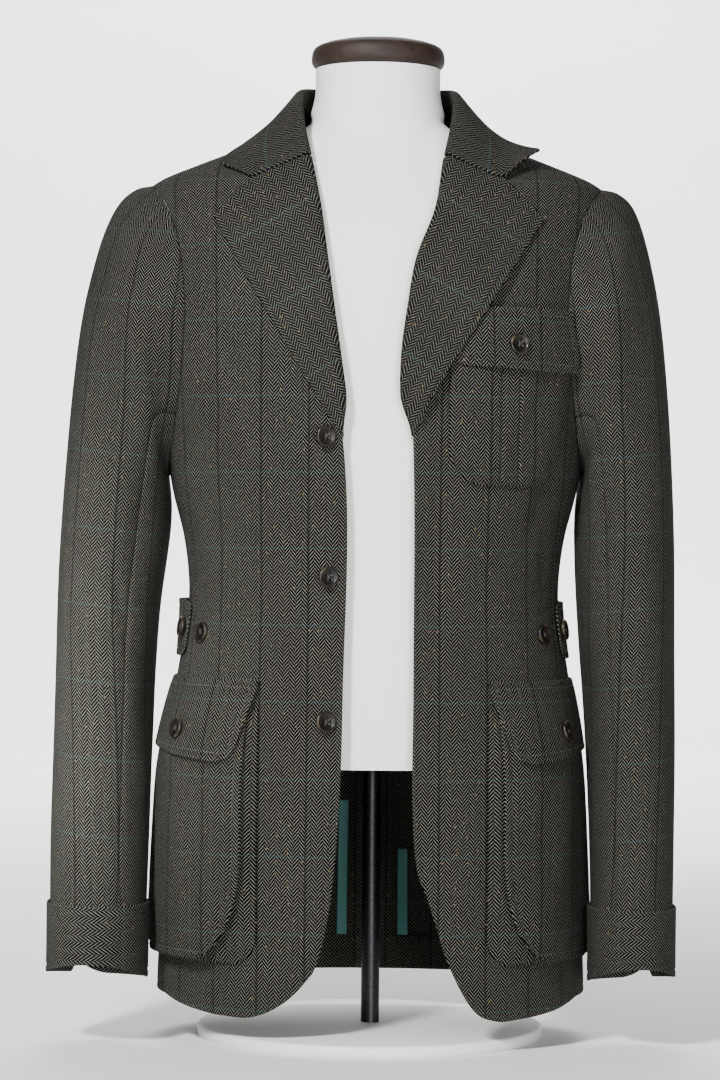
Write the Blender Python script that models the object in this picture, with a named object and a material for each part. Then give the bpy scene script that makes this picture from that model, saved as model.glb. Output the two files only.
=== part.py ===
"""Safari jacket of herringbone tweed, worn open on a limbless dress form.

Metres, +Z up, the front faces -Y and +X is the wearer's left. The origin is the middle of the base's
underside. Every cloth piece is a thin wall. The jacket's outer face is one smooth surface through a table of
level sections, and a place on it is (around, height): around is 0 at the front middle, 1 at the side and 2 at
the back middle.
"""
import math

import bmesh
import bpy
import numpy as np

for leftover in list(bpy.data.objects):
    bpy.data.objects.remove(leftover, do_unlink=True)

# Driving sizes
CLOTH = 0.0020          # thickness of the tweed wall
LAYER = 0.0016          # thickness of a piece laid on a panel
SEAM = 0.0003           # gap between two pieces at a seam
NECK_HEIGHT = 0.786     # height of the neck seam
TIP_HEIGHT = 0.736      # height of the shoulder tip
SIDE_FRONT = 0.80       # place of the side-front seam around the body
SIDE_BACK = 1.22        # place of the side-back seam
BUTTON_RADIUS = 0.0090
BUTTON_THICK = 0.0036
BUTTON_SIDES = 12
FORM_BOTTOM = 0.236
NECK_RADIUS = 0.054
NECK_TOP = 0.838
CAP_RADIUS = 0.058
CAP_TOP = 0.864
POLE_RADIUS = 0.008
BASE_RADIUS = 0.150
BASE_THICK = 0.010
POLE_SIDES = 24
CAP_SIDES = 24
BASE_SIDES = 36
CREASE_ANGLE = 50       # degrees above which an edge stays sharp
STEP_AROUND = 0.012     # steps over which the outer face's slope is measured
STEP_HEIGHT = 0.003

# Level sections of the jacket: height, half width, front depth, back depth, squareness
SECTIONS = np.array((
    (0.020, 0.1860, 0.142, 0.134, 2.25),
    (0.120, 0.1825, 0.139, 0.129, 2.25),
    (0.220, 0.1775, 0.133, 0.121, 2.25),
    (0.300, 0.1715, 0.127, 0.112, 2.25),
    (0.390, 0.1605, 0.120, 0.103, 2.25),
    (0.430, 0.1650, 0.121, 0.106, 2.25),
    (0.470, 0.1750, 0.124, 0.112, 2.25),
    (0.530, 0.1840, 0.128, 0.120, 2.30),
    (0.600, 0.1905, 0.128, 0.125, 2.30),
    (0.660, 0.1960, 0.119, 0.121, 2.30),
    (0.700, 0.1990, 0.106, 0.111, 2.25),
    (0.720, 0.2000, 0.095, 0.103, 2.20),
    (0.732, 0.1980, 0.087, 0.096, 2.15),
    (0.740, 0.1875, 0.082, 0.092, 2.12),
    (0.752, 0.1590, 0.074, 0.086, 2.10),
    (0.768, 0.1180, 0.064, 0.077, 2.05),
    (0.786, 0.0770, 0.052, 0.067, 2.00),
))

# Armhole edge: height, place around on the front branch, on the back branch
ARMHOLE = np.array((
    (0.515, SIDE_FRONT, SIDE_BACK),
    (0.545, 0.740, 1.280),
    (0.590, 0.690, 1.325),
    (0.645, 0.675, 1.330),
    (0.690, 0.720, 1.285),
    (0.712, 0.775, 1.230),
    (0.725, 0.840, 1.165),
    (0.733, 0.920, 1.080),
    (TIP_HEIGHT, 1.000, 1.000),
))
ARMPIT_DROP = 0.030     # the armhole's lowest point is this far under its ends
BODY_LEVELS = (0.090, 0.150, 0.210, 0.270, 0.325, 0.360, 0.390, 0.420, 0.450, 0.480)
ARM_LEVELS = (0.515, 0.534, 0.560, 0.592, 0.628, 0.662, 0.692, 0.715, 0.730, TIP_HEIGHT)
SHOULDER_LEVELS = (0.752, 0.768, NECK_HEIGHT)

# Front edge down to the cutaway: height, distance from the middle, for the wearer's right and left
FRONT_EDGE = np.array((
    (0.130, 0.0340, 0.0420),
    (0.170, 0.0300, 0.0355),
    (0.210, 0.0275, 0.0335),
    (0.300, 0.0255, 0.0335),
    (0.510, 0.0270, 0.0315),
    (0.570, 0.0355, 0.0285),
    (0.620, 0.0425, 0.0335),
    (0.660, 0.0485, 0.0410),
    (0.710, 0.0555, 0.0575),
    (0.753, 0.0640, 0.0640),
    (NECK_HEIGHT, 0.0715, 0.0715),
))
# Hem of the fronts: girth from the front middle, height for the wearer's right and left
FRONT_HEM = np.array((
    (0.035, 0.128, 0.150),
    (0.040, 0.100, 0.131),
    (0.046, 0.076, 0.112),
    (0.056, 0.060, 0.082),
    (0.068, 0.047, 0.056),
    (0.082, 0.037, 0.036),
    (0.100, 0.030, 0.028),
    (0.125, 0.0295, 0.0285),
    (0.160, 0.033, 0.032),
    (0.205, 0.0405, 0.0405),
))
SIDE_HEM = 0.0405       # hem height at the sides and behind
FRONT_COLUMNS = 10
FRONT_CROWD = 1.5       # crowds a front's columns towards its edge
SIDE_COLUMNS = 6
BACK_COLUMNS = 8

# Sleeve rings: outer x, outer z, inner x, inner z, front reach, back reach, middle y
SLEEVE_RINGS = np.array((
    (0.1960, 0.736, 0.1790, 0.486, 0.080, 0.088, 0.004),
    (0.2110, 0.732, 0.1800, 0.481, 0.083, 0.090, 0.004),
    (0.2245, 0.717, 0.1785, 0.473, 0.085, 0.090, 0.003),
    (0.2360, 0.682, 0.1755, 0.461, 0.083, 0.087, 0.002),
    (0.2465, 0.628, 0.1742, 0.445, 0.080, 0.083, 0.000),
    (0.2535, 0.560, 0.1742, 0.422, 0.077, 0.079, -0.003),
    (0.2580, 0.482, 0.1752, 0.388, 0.074, 0.075, -0.008),
    (0.2602, 0.402, 0.1778, 0.342, 0.071, 0.071, -0.015),
    (0.2606, 0.322, 0.1812, 0.289, 0.067, 0.066, -0.024),
    (0.2598, 0.240, 0.1846, 0.226, 0.063, 0.061, -0.036),
    (0.2580, 0.160, 0.1866, 0.156, 0.059, 0.057, -0.052),
    (0.2556, 0.078, 0.1872, 0.078, 0.057, 0.055, -0.070),
))
SLEEVE_ROWS = 14
SLEEVE_HALF = 0.060     # rough half width by which a fold's depth is reckoned
ARMHOLE_BLEND = 4.0     # rings over which the armhole's shape fades out
# Outward swing of the wearer's right sleeve: height, at its outer side, at its inner side
SWING = np.array((
    (0.06, 0.0178, 0.0050),
    (0.17, 0.0166, 0.0040),
    (0.25, 0.0142, 0.0046),
    (0.38, 0.0130, 0.0086),
    (0.44, 0.0116, 0.0040),
    (0.49, 0.0106, 0.0000),
    (0.65, 0.0080, 0.0000),
    (0.71, 0.0050, 0.0000),
    (0.735, 0.0000, 0.0000),
))
SLEEVE_SPAN = (0.175, 0.260)    # x of a sleeve's inner and outer side
# Soft troughs down a sleeve: place round it, upper ring, lower ring, half width in places, depth
SLEEVE_FOLDS = (
    (4.6, 1.8, 6.0, 1.3, 0.0040),
    (8.0, 3.2, 7.6, 1.2, 0.0035),
    (20.4, 2.2, 6.5, 1.4, 0.0040),
    (1.6, 6.6, 9.0, 1.3, 0.0025),
    (10.5, 7.0, 9.2, 1.4, 0.0030),
)
FRONT_ARM_SEAM = 8      # ring places of the two sleeve seams, counted from the shoulder tip
HIND_ARM_SEAM = 17
CUFF_HEIGHT = 0.056
CUFF_TOP = 0.120
CUFF_BACK_DROP = 0.012
CUFF_ARCH = 0.0085      # the lower edge rises this far in front
CUFF_TILT = 0.0018      # and by this much more at the outer side, less at the inner side
CUFF_SLIT = 20.0        # ring place of the slit at the back, towards the outer side
CUFF_SLIT_WIDTH = 0.20
CUFF_CORNER = 0.008
CUFF_ROWS = 3
CUFF_EASE = 0.0010
CUFF_SNUG = 0.5         # share of that ease left at the cuff's upper edge
CUFF_THICK = 0.0022

# Lapels: height of the roll line, its x, outer edge x and height, for the wearer's right and left
LAPEL_RIGHT = np.array((
    (0.5160, 0.0240, 0.0300, 0.5120),
    (0.5450, 0.0282, 0.0440, 0.5420),
    (0.5850, 0.0340, 0.0655, 0.5770),
    (0.6250, 0.0398, 0.0890, 0.6170),
    (0.6650, 0.0455, 0.1130, 0.6570),
    (0.7070, 0.0515, 0.1366, 0.7010),
    (0.7508, 0.0600, 0.1055, 0.7345),
))
LAPEL_LEFT = np.array((
    (0.5160, 0.0280, 0.0340, 0.5110),
    (0.5450, 0.0250, 0.0430, 0.5440),
    (0.5850, 0.0255, 0.0640, 0.5805),
    (0.6250, 0.0305, 0.0880, 0.6190),
    (0.6650, 0.0375, 0.1130, 0.6590),
    (0.7070, 0.0530, 0.1398, 0.7010),
    (0.7508, 0.0600, 0.1075, 0.7340),
))
LAPEL_OUT = 0.0022      # rest of a lapel off the front
POCKET_LIFT = 0.0062    # further lift of the wearer's left lapel where it covers the chest pocket
POCKET_FADE = (0.645, 0.690)    # heights between which that lift ends
LAPEL_ROWS = 12
LAPEL_SEAM = 0.0010
LAPEL_LEAF = (0.14, 0.38, 0.68, 1.00)
# Turn of the lapel at the roll line: shift from the line, distance off the front
LAPEL_TURN = ((-0.0006, -0.0007), (-0.0032, 0.0010), (-0.0036, 0.0040), (-0.0008, 0.0066))

# Collar, from the back middle to the front end: seam around and height, fold x y z, edge x y z
COLLAR = np.array((
    (2.00, NECK_HEIGHT, 0.0000, 0.0700, 0.8240, 0.0000, 0.0815, 0.7755),
    (1.75, NECK_HEIGHT, 0.0275, 0.0630, 0.8235, 0.0435, 0.0775, 0.7750),
    (1.45, NECK_HEIGHT, 0.0515, 0.0400, 0.8215, 0.0845, 0.0585, 0.7735),
    (1.15, NECK_HEIGHT, 0.0655, 0.0080, 0.8175, 0.1065, 0.0235, 0.7765),
    (0.98, NECK_HEIGHT, 0.0682, -0.0150, 0.8100, 0.1165, -0.0080, 0.7735),
    (0.80, NECK_HEIGHT, 0.0680, -0.0330, 0.7985, 0.1285, -0.0290, 0.7655),
    (0.74, 0.7740, 0.0655, -0.0530, 0.7790, 0.1340, -0.0450, 0.7570),
    (0.70, 0.7545, 0.0605, -0.0745, 0.7560, 0.1335, -0.0570, 0.7500),
))
COLLAR_STATIONS = (0.0, 0.6, 1.1, 1.6, 2.0, 2.4, 2.8, 3.2, 3.6, 4.0, 4.5, 5.0, 5.5, 6.0, 6.5, 7.0)
GORGE_SAG = 0.0140      # how far the collar's front end dips to the notch
GORGE_NOTCH = 0.62      # where along that end the notch is
GORGE_REACH = 1.5       # stations over which the dip fades
COLLAR_FOLD = 0.0035    # radius of the fold along the top
COLLAR_SEAM = 0.0022
COLLAR_STEP = 0.0028    # the stand starts this far past the neck edge
COLLAR_LEAF = (0.22, 0.42, 0.62, 0.81, 1.00)
COLLAR_BULGE = -0.001
COLLAR_LIFT = 0.0050    # how far the fall stays in front of the fronts

# Lift of the wearer's left collar end, at its tip: x, y, z; it fades out towards the fold and this station
COLLAR_WING = np.array((0.0050, -0.0010, 0.0120))
WING_START = 4.0

# Hip pockets: middle and half widths are girths from the front middle
HIP_MIDDLE = 0.180
HIP_HALF = 0.074
HIP_TOP = 0.286
HIP_BOTTOM = 0.0765
HIP_CORNER = 0.045
HIP_DEPTH = 0.016       # how far the bellows lets the patch stand off
HIP_CROWN = 0.18        # the patch's middle stands out by this share more
HIP_PRESSED = 0.62      # share of the depth lost where the arm presses on the pocket
PRESS_FROM = -0.75      # that loss starts here across the pocket
PRESS_SPAN = 1.25       # and grows over this way
HIP_MOUTH = 0.25        # share of the depth at the mouth
HIP_FILL = 0.35         # share of the way down where the depth is full
HIP_TAPER = 0.15        # share of the depth lost at the bottom
HIP_TAPER_FROM = 0.70
HIP_LEVELS = (0.286, 0.262, 0.232, 0.196, 0.158, 0.124, 0.104, 0.090, 0.081, 0.0765)
HIP_COLUMNS = 8
GUSSET_REST = 0.0009
GUSSET_TUCK = 0.0020
GUSSET_MIDDLE = 0.55    # the pinch's share of the way out
HIP_SPREAD = 0.008      # the gusset's seam on the body lies this far outside the patch
HIP_FOLD = 0.005        # inward pinch of the gusset's middle
HIP_FLAP = {"middle": HIP_MIDDLE, "half_top": 0.084, "half_bottom": 0.072, "top": 0.311, "bottom": 0.246,
            "low": 0.0008, "high": 0.0195, "pressed": 1.0, "flare": 0.0}
HIP_BUTTON_DOWN = 0.67
FLAP_CORNER = 0.014
FLAP_CURVE = 0.8        # how soon a flap reaches its full height off the body
FLAP_STEP = 0.1         # step over which a flap's slope is measured
FLAP_ROWS = (0.0, 0.25, 0.5, 0.79, 0.88, 0.96, 1.0)

# Chest pocket on the wearer's left: girths and heights
CHEST_MIDDLE = 0.1150
CHEST_HALF = 0.0530
CHEST_BOTTOM = 0.476
CHEST_CORNER = 0.030
CHEST_LEVELS = (0.618, 0.590, 0.560, 0.530, 0.506, 0.492, 0.483, 0.478, 0.476)
CHEST_PLEAT = 0.004     # half width of the trough where the folds of the inverted pleat meet
PLEAT_DIP = 0.0009
PATCH_REST = 0.0010
CHEST_FLAP = {"middle": CHEST_MIDDLE + 0.003, "half_top": 0.054, "half_bottom": 0.056, "top": 0.625,
              "bottom": 0.573, "low": 0.0040, "high": 0.0058, "pressed": 0.0, "flare": 0.008}
CHEST_FLAP_COLUMNS = 8
CHEST_BUTTON_DOWN = 0.60

TAB_LOW = 0.328
TAB_HIGH = 0.377
TAB_FRONT = 0.815
TAB_STAND = {-1: 0.0060, 1: 0.0022}     # the strap's upper edge stands off the side by this much more
TAB_FALL = 0.85         # share of that lost at its lower edge
TAB_REST = 0.0014
TAB_ROUND = 0.06        # the free end is rounded over this way around
TAB_TIP = 0.72          # share of the strap's width left at its very end
TAB_COLUMNS = 10
TAB_ROWS = 4
TAB_BUTTON = 0.855
WAIST_BUTTON = 0.730
TAB_SEAT = 0.0008       # seats of the tab's button and of the one beside it
WAIST_SEAT = 0.0001

# Bindings of the vent edges and the turned-up hem, inside the back
BINDINGS = {
    "right": {"around": (1.880, 1.898, 1.916), "low": 0.0715, "high": 0.194},
    "left": {"around": (1.866, 1.884, 1.902), "low": 0.0715, "high": 0.150},
}
BINDING_THICK = 0.0010
FACING_AROUND = tuple(np.linspace(1.235, 1.990, 8))
FACING_TOP = 0.0705
FACING_THICK = 0.0010
STRIP_ROWS = 3
STRIP_REST = 0.0009

# Dress form: height, clearance inside the cloth, clearance under the shoulder seam; then the neck rings'
# height, half width, front and back
FORM_LEVELS = (FORM_BOTTOM, 0.300, 0.360, 0.420, 0.480, 0.540, 0.600, 0.650, 0.690, 0.715, 0.730,
               TIP_HEIGHT, 0.752, 0.768, 0.777)
FORM_CLEAR = np.array((
    (0.236, 0.0180, 0.0180),
    (0.390, 0.0130, 0.0130),
    (0.540, 0.0100, 0.0100),
    (0.650, 0.0070, 0.0070),
    (0.714, 0.0045, 0.0040),
    (0.736, 0.0036, 0.0010),
    (0.768, 0.0034, 0.0007),
    (0.786, 0.0034, 0.0007),
))
SEAT_WIDTH = 0.12       # the shoulder seam's own seat on the form fades over this way around
FORM_NECK = (
    (0.786, 0.0640, 0.0490, 0.0585),
    (0.800, 0.0580, 0.0515, 0.0560),
    (0.812, 0.0550, 0.0535, 0.0545),
    (NECK_TOP, NECK_RADIUS, 0.054, 0.0540),
)
FORM_COLUMNS = 16
CAP_PROFILE = (
    (0.0520, NECK_TOP + SEAM),
    (0.0565, NECK_TOP + 0.002),
    (CAP_RADIUS, NECK_TOP + 0.008),
    (0.0570, NECK_TOP + 0.015),
    (0.0520, NECK_TOP + 0.020),
    (0.0380, NECK_TOP + 0.024),
    (0.0150, CAP_TOP),
)
BASE_PROFILE = (
    (BASE_RADIUS - 0.001, 0.0),
    (BASE_RADIUS, 0.001),
    (BASE_RADIUS, BASE_THICK - 0.003),
    (BASE_RADIUS - 0.003, BASE_THICK),
)

# Button profile: share of the radius, share of the thickness
BUTTON_SEAT = 0.0006
BUTTON_PROFILE = ((0.86, 0.0), (1.0, 0.50), (0.88, 1.0), (0.66, 0.75))
BUTTON_DISH = 0.66
FRONT_BUTTON_HEIGHTS = (0.516, 0.398, 0.277)
FRONT_BUTTON_X = (0.0445, 0.0415, 0.0425)

MATERIALS = {
    "tweed": ((0.070, 0.066, 0.060, 1.0), 0.90, 0.0),
    "tweed_dark": ((0.045, 0.043, 0.039, 1.0), 0.92, 0.0),
    "binding": ((0.030, 0.080, 0.075, 1.0), 0.55, 0.0),
    "horn": ((0.035, 0.018, 0.010, 1.0), 0.32, 0.0),
    "form_cloth": ((0.790, 0.790, 0.770, 1.0), 0.75, 0.0),
    "wood": ((0.070, 0.036, 0.022, 1.0), 0.38, 0.0),
    "steel": ((0.030, 0.030, 0.032, 1.0), 0.40, 1.0),
    "base_paint": ((0.720, 0.720, 0.700, 1.0), 0.50, 0.0),
}

ANGLES = np.linspace(0.0, math.pi, 121)
SIN = np.clip(np.sin(ANGLES), 0.0, 1.0)
COS = np.cos(ANGLES)
SIDE_INDEX = 60


def smooth(knots, values, at):
    """Cubic curve through the values at rising knots, held level past both ends."""
    knots = np.asarray(knots, float)
    values = np.asarray(values, float)
    slope = np.gradient(values, knots)
    at = np.clip(np.asarray(at, float), knots[0], knots[-1])
    low = np.clip(np.searchsorted(knots, at, side="right") - 1, 0, len(knots) - 2)
    span = knots[low + 1] - knots[low]
    t = (at - knots[low]) / span
    rise = values[low] * (1 + 2 * t) * (1 - t) ** 2 + values[low + 1] * t * t * (3 - 2 * t)
    return rise + span * t * (1 - t) * (slope[low] * (1 - t) - slope[low + 1] * t)


def rings(height):
    """Half sections at the heights: x, y, girth from the front middle and place around, a row each."""
    wide, front, back, square = (
        smooth(SECTIONS[:, 0], SECTIONS[:, k], height)[:, None] for k in (1, 2, 3, 4))
    depth = np.where(COS >= 0, front, back)
    radius = ((SIN / wide) ** square + (np.abs(COS) / depth) ** square) ** (-1 / square)
    x = radius * SIN
    y = -radius * COS
    steps = np.hypot(np.diff(x, axis=1), np.diff(y, axis=1))
    girth = np.concatenate((np.zeros((len(x), 1)), np.cumsum(steps, axis=1)), axis=1)
    side = girth[:, SIDE_INDEX:SIDE_INDEX + 1]
    around = np.where(girth <= side, girth / side, 1 + (girth - side) / (girth[:, -1:] - side))
    return x, y, girth, around


def read_rows(keys, values, at):
    """Linear reading of each row of values at its own rising key."""
    low = np.clip((keys < at[:, None]).sum(axis=1) - 1, 0, keys.shape[1] - 2)
    row = np.arange(len(at))
    t = (at - keys[row, low]) / (keys[row, low + 1] - keys[row, low])
    return values[row, low] * (1 - t) + values[row, low + 1] * t


def bare(around, height):
    """Points of the outer face on the wearer's left, as flat arrays."""
    x, y, _, place = rings(height)
    around = np.clip(around, 0.0, 2.0)
    height = np.clip(height, SECTIONS[0, 0], SECTIONS[-1, 0])
    return np.stack((read_rows(place, x, around), read_rows(place, y, around), height), axis=-1)


def unit(vectors):
    return vectors / np.maximum(np.linalg.norm(vectors, axis=-1, keepdims=True), 1e-12)


def on_body(around, height, out=0.0):
    """Points moved out from the outer face, with the normals, for any matching arrays of places."""
    around, height, out = np.broadcast_arrays(*(np.asarray(a, float) for a in (around, height, out)))
    flat = (around.ravel(), height.ravel())
    across = bare(flat[0] + STEP_AROUND, flat[1]) - bare(flat[0] - STEP_AROUND, flat[1])
    along = bare(flat[0], flat[1] + STEP_HEIGHT) - bare(flat[0], flat[1] - STEP_HEIGHT)
    normal = unit(np.cross(across, along))
    points = bare(*flat) + normal * out.ravel()[:, None]
    return points.reshape(around.shape + (3,)), normal.reshape(around.shape + (3,))


def around_of_girth(girth, height):
    girth, height = np.broadcast_arrays(np.asarray(girth, float), np.asarray(height, float))
    _, _, lengths, place = rings(height.ravel())
    return read_rows(lengths, place, girth.ravel()).reshape(girth.shape)


def around_of_x(x, height):
    """Place around the front half that lies this far from the middle."""
    x, height = np.broadcast_arrays(np.asarray(x, float), np.asarray(height, float))
    across, _, _, place = rings(height.ravel())
    half = slice(0, SIDE_INDEX + 1)
    return read_rows(across[:, half], place[:, half], x.ravel()).reshape(x.shape)


def paint(piece, name):
    material = bpy.data.materials.get(name)
    if material is None:
        colour, roughness, metallic = MATERIALS[name]
        material = bpy.data.materials.new(name)
        material.use_nodes = True
        shader = material.node_tree.nodes["Principled BSDF"]
        shader.inputs["Base Color"].default_value = colour
        shader.inputs["Roughness"].default_value = roughness
        shader.inputs["Metallic"].default_value = metallic
        material.diffuse_color = colour
    piece.data.materials.append(material)


def solid(name, points, faces, finish):
    """One closed object, its faces turned outward and shaded smooth up to a crease."""
    mesh = bpy.data.meshes.new(name)
    mesh.from_pydata([tuple(p) for p in points], [], faces)
    tool = bmesh.new()
    tool.from_mesh(mesh)
    bmesh.ops.recalc_face_normals(tool, faces=tool.faces)
    if tool.calc_volume(signed=True) < 0:
        bmesh.ops.reverse_faces(tool, faces=tool.faces)
    tool.to_mesh(mesh)
    tool.free()
    mesh.shade_smooth()
    mesh.set_sharp_from_angle(angle=math.radians(CREASE_ANGLE))
    piece = bpy.data.objects.new(name, mesh)
    bpy.context.collection.objects.link(piece)
    paint(piece, finish)
    return piece


def wall(name, outer, inner, finish, side=1, ring=False):
    """Closed wall between two matching grids of points; ring joins the last column to the first."""
    rows, columns = outer.shape[:2]
    points = np.concatenate((outer.reshape(-1, 3), inner.reshape(-1, 3))) * (side, 1, 1)
    half = rows * columns
    spans = columns if ring else columns - 1
    faces = []

    def corner(row, column):
        return row * columns + column % columns

    for row in range(rows - 1):
        for column in range(spans):
            quad = [corner(row, column), corner(row, column + 1),
                    corner(row + 1, column + 1), corner(row + 1, column)]
            faces.append(quad)
            faces.append([half + k for k in reversed(quad)])
    edges = [(corner(row, k), corner(row, k + 1)) for row in (0, rows - 1) for k in range(spans)]
    if not ring:
        edges += [(corner(k, column), corner(k + 1, column)) for column in (0, columns - 1)
                  for k in range(rows - 1)]
    faces += [[a, b, half + b, half + a] for a, b in edges]
    return solid(name, points, faces, finish)


def layer(name, around, height, low, high, finish, side):
    """A piece that lies on the body between two distances from its outer face."""
    return wall(name, on_body(around, height, high)[0], on_body(around, height, low)[0], finish, side)


def seam_share(height):
    """Half a seam gap as a share of the way from the front middle to the side."""
    return SEAM / 2 / rings(np.atleast_1d(height))[2][:, SIDE_INDEX]


def panel_levels():
    return np.array((SIDE_HEM,) + BODY_LEVELS + ARM_LEVELS + SHOULDER_LEVELS)


def cloth_panel(name, around, height, side):
    wall(name, on_body(around, height)[0], on_body(around, height, -CLOTH)[0], "tweed", side)


def front_panel(name, side):
    """A front: from its edge and roll line to the side seam, armhole and shoulder seam."""
    column = 1 if side < 0 else 2
    share = np.linspace(0, 1, FRONT_COLUMNS + 1) ** FRONT_CROWD
    girth = FRONT_HEM[0, 0] + share * (FRONT_HEM[-1, 0] - FRONT_HEM[0, 0])
    hem = smooth(FRONT_HEM[:, 0], FRONT_HEM[:, column], girth)
    levels = panel_levels()
    fade = (NECK_HEIGHT - levels) / (NECK_HEIGHT - SIDE_HEM)
    height = levels[:, None] + (hem - SIDE_HEM)[None, :] * fade[:, None]
    edge = around_of_x(smooth(FRONT_EDGE[:, 0], FRONT_EDGE[:, column], height), height)
    far = smooth(ARMHOLE[:, 0], ARMHOLE[:, 1], height) - seam_share(height.ravel()).reshape(height.shape)
    cloth_panel(name, edge + (far - edge) * share, height, side)


def side_panel(name, side):
    share = np.linspace(0, 1, SIDE_COLUMNS + 1)
    levels = np.array((SIDE_HEM,) + BODY_LEVELS)
    height = np.concatenate((np.repeat(levels[:, None], len(share), axis=1), armpit_heights()[None, :]))
    gap = seam_share(height.ravel()).reshape(height.shape)
    around = SIDE_FRONT + gap + (SIDE_BACK - SIDE_FRONT - 2 * gap) * share
    cloth_panel(name, around, height, side)


def armpit_heights():
    share = np.linspace(-1, 1, SIDE_COLUMNS + 1)
    return ARM_LEVELS[0] - ARMPIT_DROP * (1 - share ** 2)


def back_panel(name, side):
    share = np.linspace(0, 1, BACK_COLUMNS + 1)
    levels = panel_levels()
    gap = seam_share(levels)
    far = smooth(ARMHOLE[:, 0], ARMHOLE[:, 2], levels) + gap
    around = (2 - gap)[:, None] + (far - (2 - gap))[:, None] * share
    cloth_panel(name, around, np.repeat(levels[:, None], len(share), axis=1), side)


def armhole_ring():
    """Places of the armhole edge: down the front, under the arm and up the back."""
    front = np.array(ARM_LEVELS[::-1])
    under = armpit_heights()[1:-1]
    back = np.array(ARM_LEVELS[:-1])
    around = np.concatenate((
        smooth(ARMHOLE[:, 0], ARMHOLE[:, 1], front),
        np.linspace(SIDE_FRONT, SIDE_BACK, SIDE_COLUMNS + 1)[1:-1],
        smooth(ARMHOLE[:, 0], ARMHOLE[:, 2], back)))
    return around, np.concatenate((front, under, back))


RING_COUNT = len(armhole_ring()[0])


def sleeve_troughs(ring, place):
    """Depth of the folds at a place of the sleeve."""
    depth = 0 * ring
    for at, top, bottom, wide, deep in SLEEVE_FOLDS:
        away = (place - at + RING_COUNT / 2) % RING_COUNT - RING_COUNT / 2
        along = np.clip((ring - top) / (bottom - top), 0, 1)
        depth = depth + deep * np.exp(-(away / wide) ** 2) * np.sin(math.pi * along) ** 2
    return depth


def sleeve_oval(ring, place):
    """Point of the sleeve's plain oval: ring is a row of the table, place counts round from the top."""
    index = np.arange(len(SLEEVE_RINGS))
    ox, oz, ix, iz, front, back, middle = (smooth(index, SLEEVE_RINGS[:, k], ring) for k in range(7))
    turn = 2 * math.pi * place / RING_COUNT
    reach = np.where(np.sin(turn) >= 0, front, back)
    size = 1 - sleeve_troughs(ring, place) / SLEEVE_HALF
    x = (ox + ix) / 2 + (ox - ix) / 2 * np.cos(turn) * size
    z = (oz + iz) / 2 + (oz - iz) / 2 * np.cos(turn) * size
    return np.stack((x, middle - reach * np.sin(turn) * size, z), axis=-1)


def swung(points, side, share=1.0):
    """The points of a sleeve, swung out on the wearer's right."""
    moved = points.copy()
    if side < 0:
        way = np.clip((points[..., 0] - SLEEVE_SPAN[0]) / (SLEEVE_SPAN[1] - SLEEVE_SPAN[0]), 0, 1)
        outer, inner = (smooth(SWING[:, 0], SWING[:, k], points[..., 2]) for k in (1, 2))
        moved[..., 0] += (inner + (outer - inner) * way) * share
    return moved


def tube_normals(grid):
    """Normals of a grid of rings, pointing away from each ring's middle."""
    across = np.roll(grid, -1, axis=1) - np.roll(grid, 1, axis=1)
    along = np.gradient(grid, axis=0)
    normal = unit(np.cross(across, along))
    away = grid - grid.mean(axis=1, keepdims=True)
    return normal * np.sign((normal * away).sum(axis=-1).mean())


def sleeve_grids(side):
    """Outer and inner points of a sleeve, a row for each ring."""
    around, height = armhole_ring()
    edge, out = on_body(around, height)
    tangent = unit(np.roll(edge, -1, axis=0) - np.roll(edge, 1, axis=0))
    inward = np.cross(out, tangent)
    inward *= np.sign((inward * (edge.mean(axis=0) - edge)).sum(axis=-1, keepdims=True))
    ring = np.linspace(0, len(SLEEVE_RINGS) - 1, SLEEVE_ROWS + 1)[:, None]
    place = np.arange(RING_COUNT)[None, :]
    ring, place = np.broadcast_arrays(ring, place)
    blend = np.clip(1 - ring / ARMHOLE_BLEND, 0, 1)[..., None] ** 2
    start = edge - sleeve_oval(np.zeros(RING_COUNT), np.arange(RING_COUNT))
    outer = swung(sleeve_oval(ring, place), side, 1 - blend[..., 0]) + blend * start
    outer[0] = edge + inward * SEAM
    inner = outer - tube_normals(outer) * CLOTH
    inner[0] = outer[0] + unit(inward - out) * CLOTH
    return outer, inner


def sleeve(names, side):
    """Top sleeve over the arm and under sleeve beneath it, parted at two seams."""
    outer, inner = sleeve_grids(side)
    spans = (range(HIND_ARM_SEAM, RING_COUNT + FRONT_ARM_SEAM + 1), range(FRONT_ARM_SEAM, HIND_ARM_SEAM + 1))
    for name, span in zip(names, spans):
        faces = []
        for grid in (outer, inner):
            part = grid[:, [k % RING_COUNT for k in span]].copy()
            part[:, 0] += unit(part[:, 1] - part[:, 0]) * SEAM / 2
            part[:, -1] += unit(part[:, -2] - part[:, -1]) * SEAM / 2
            faces.append(part)
        wall(name, faces[0], faces[1], "tweed", side)


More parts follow.
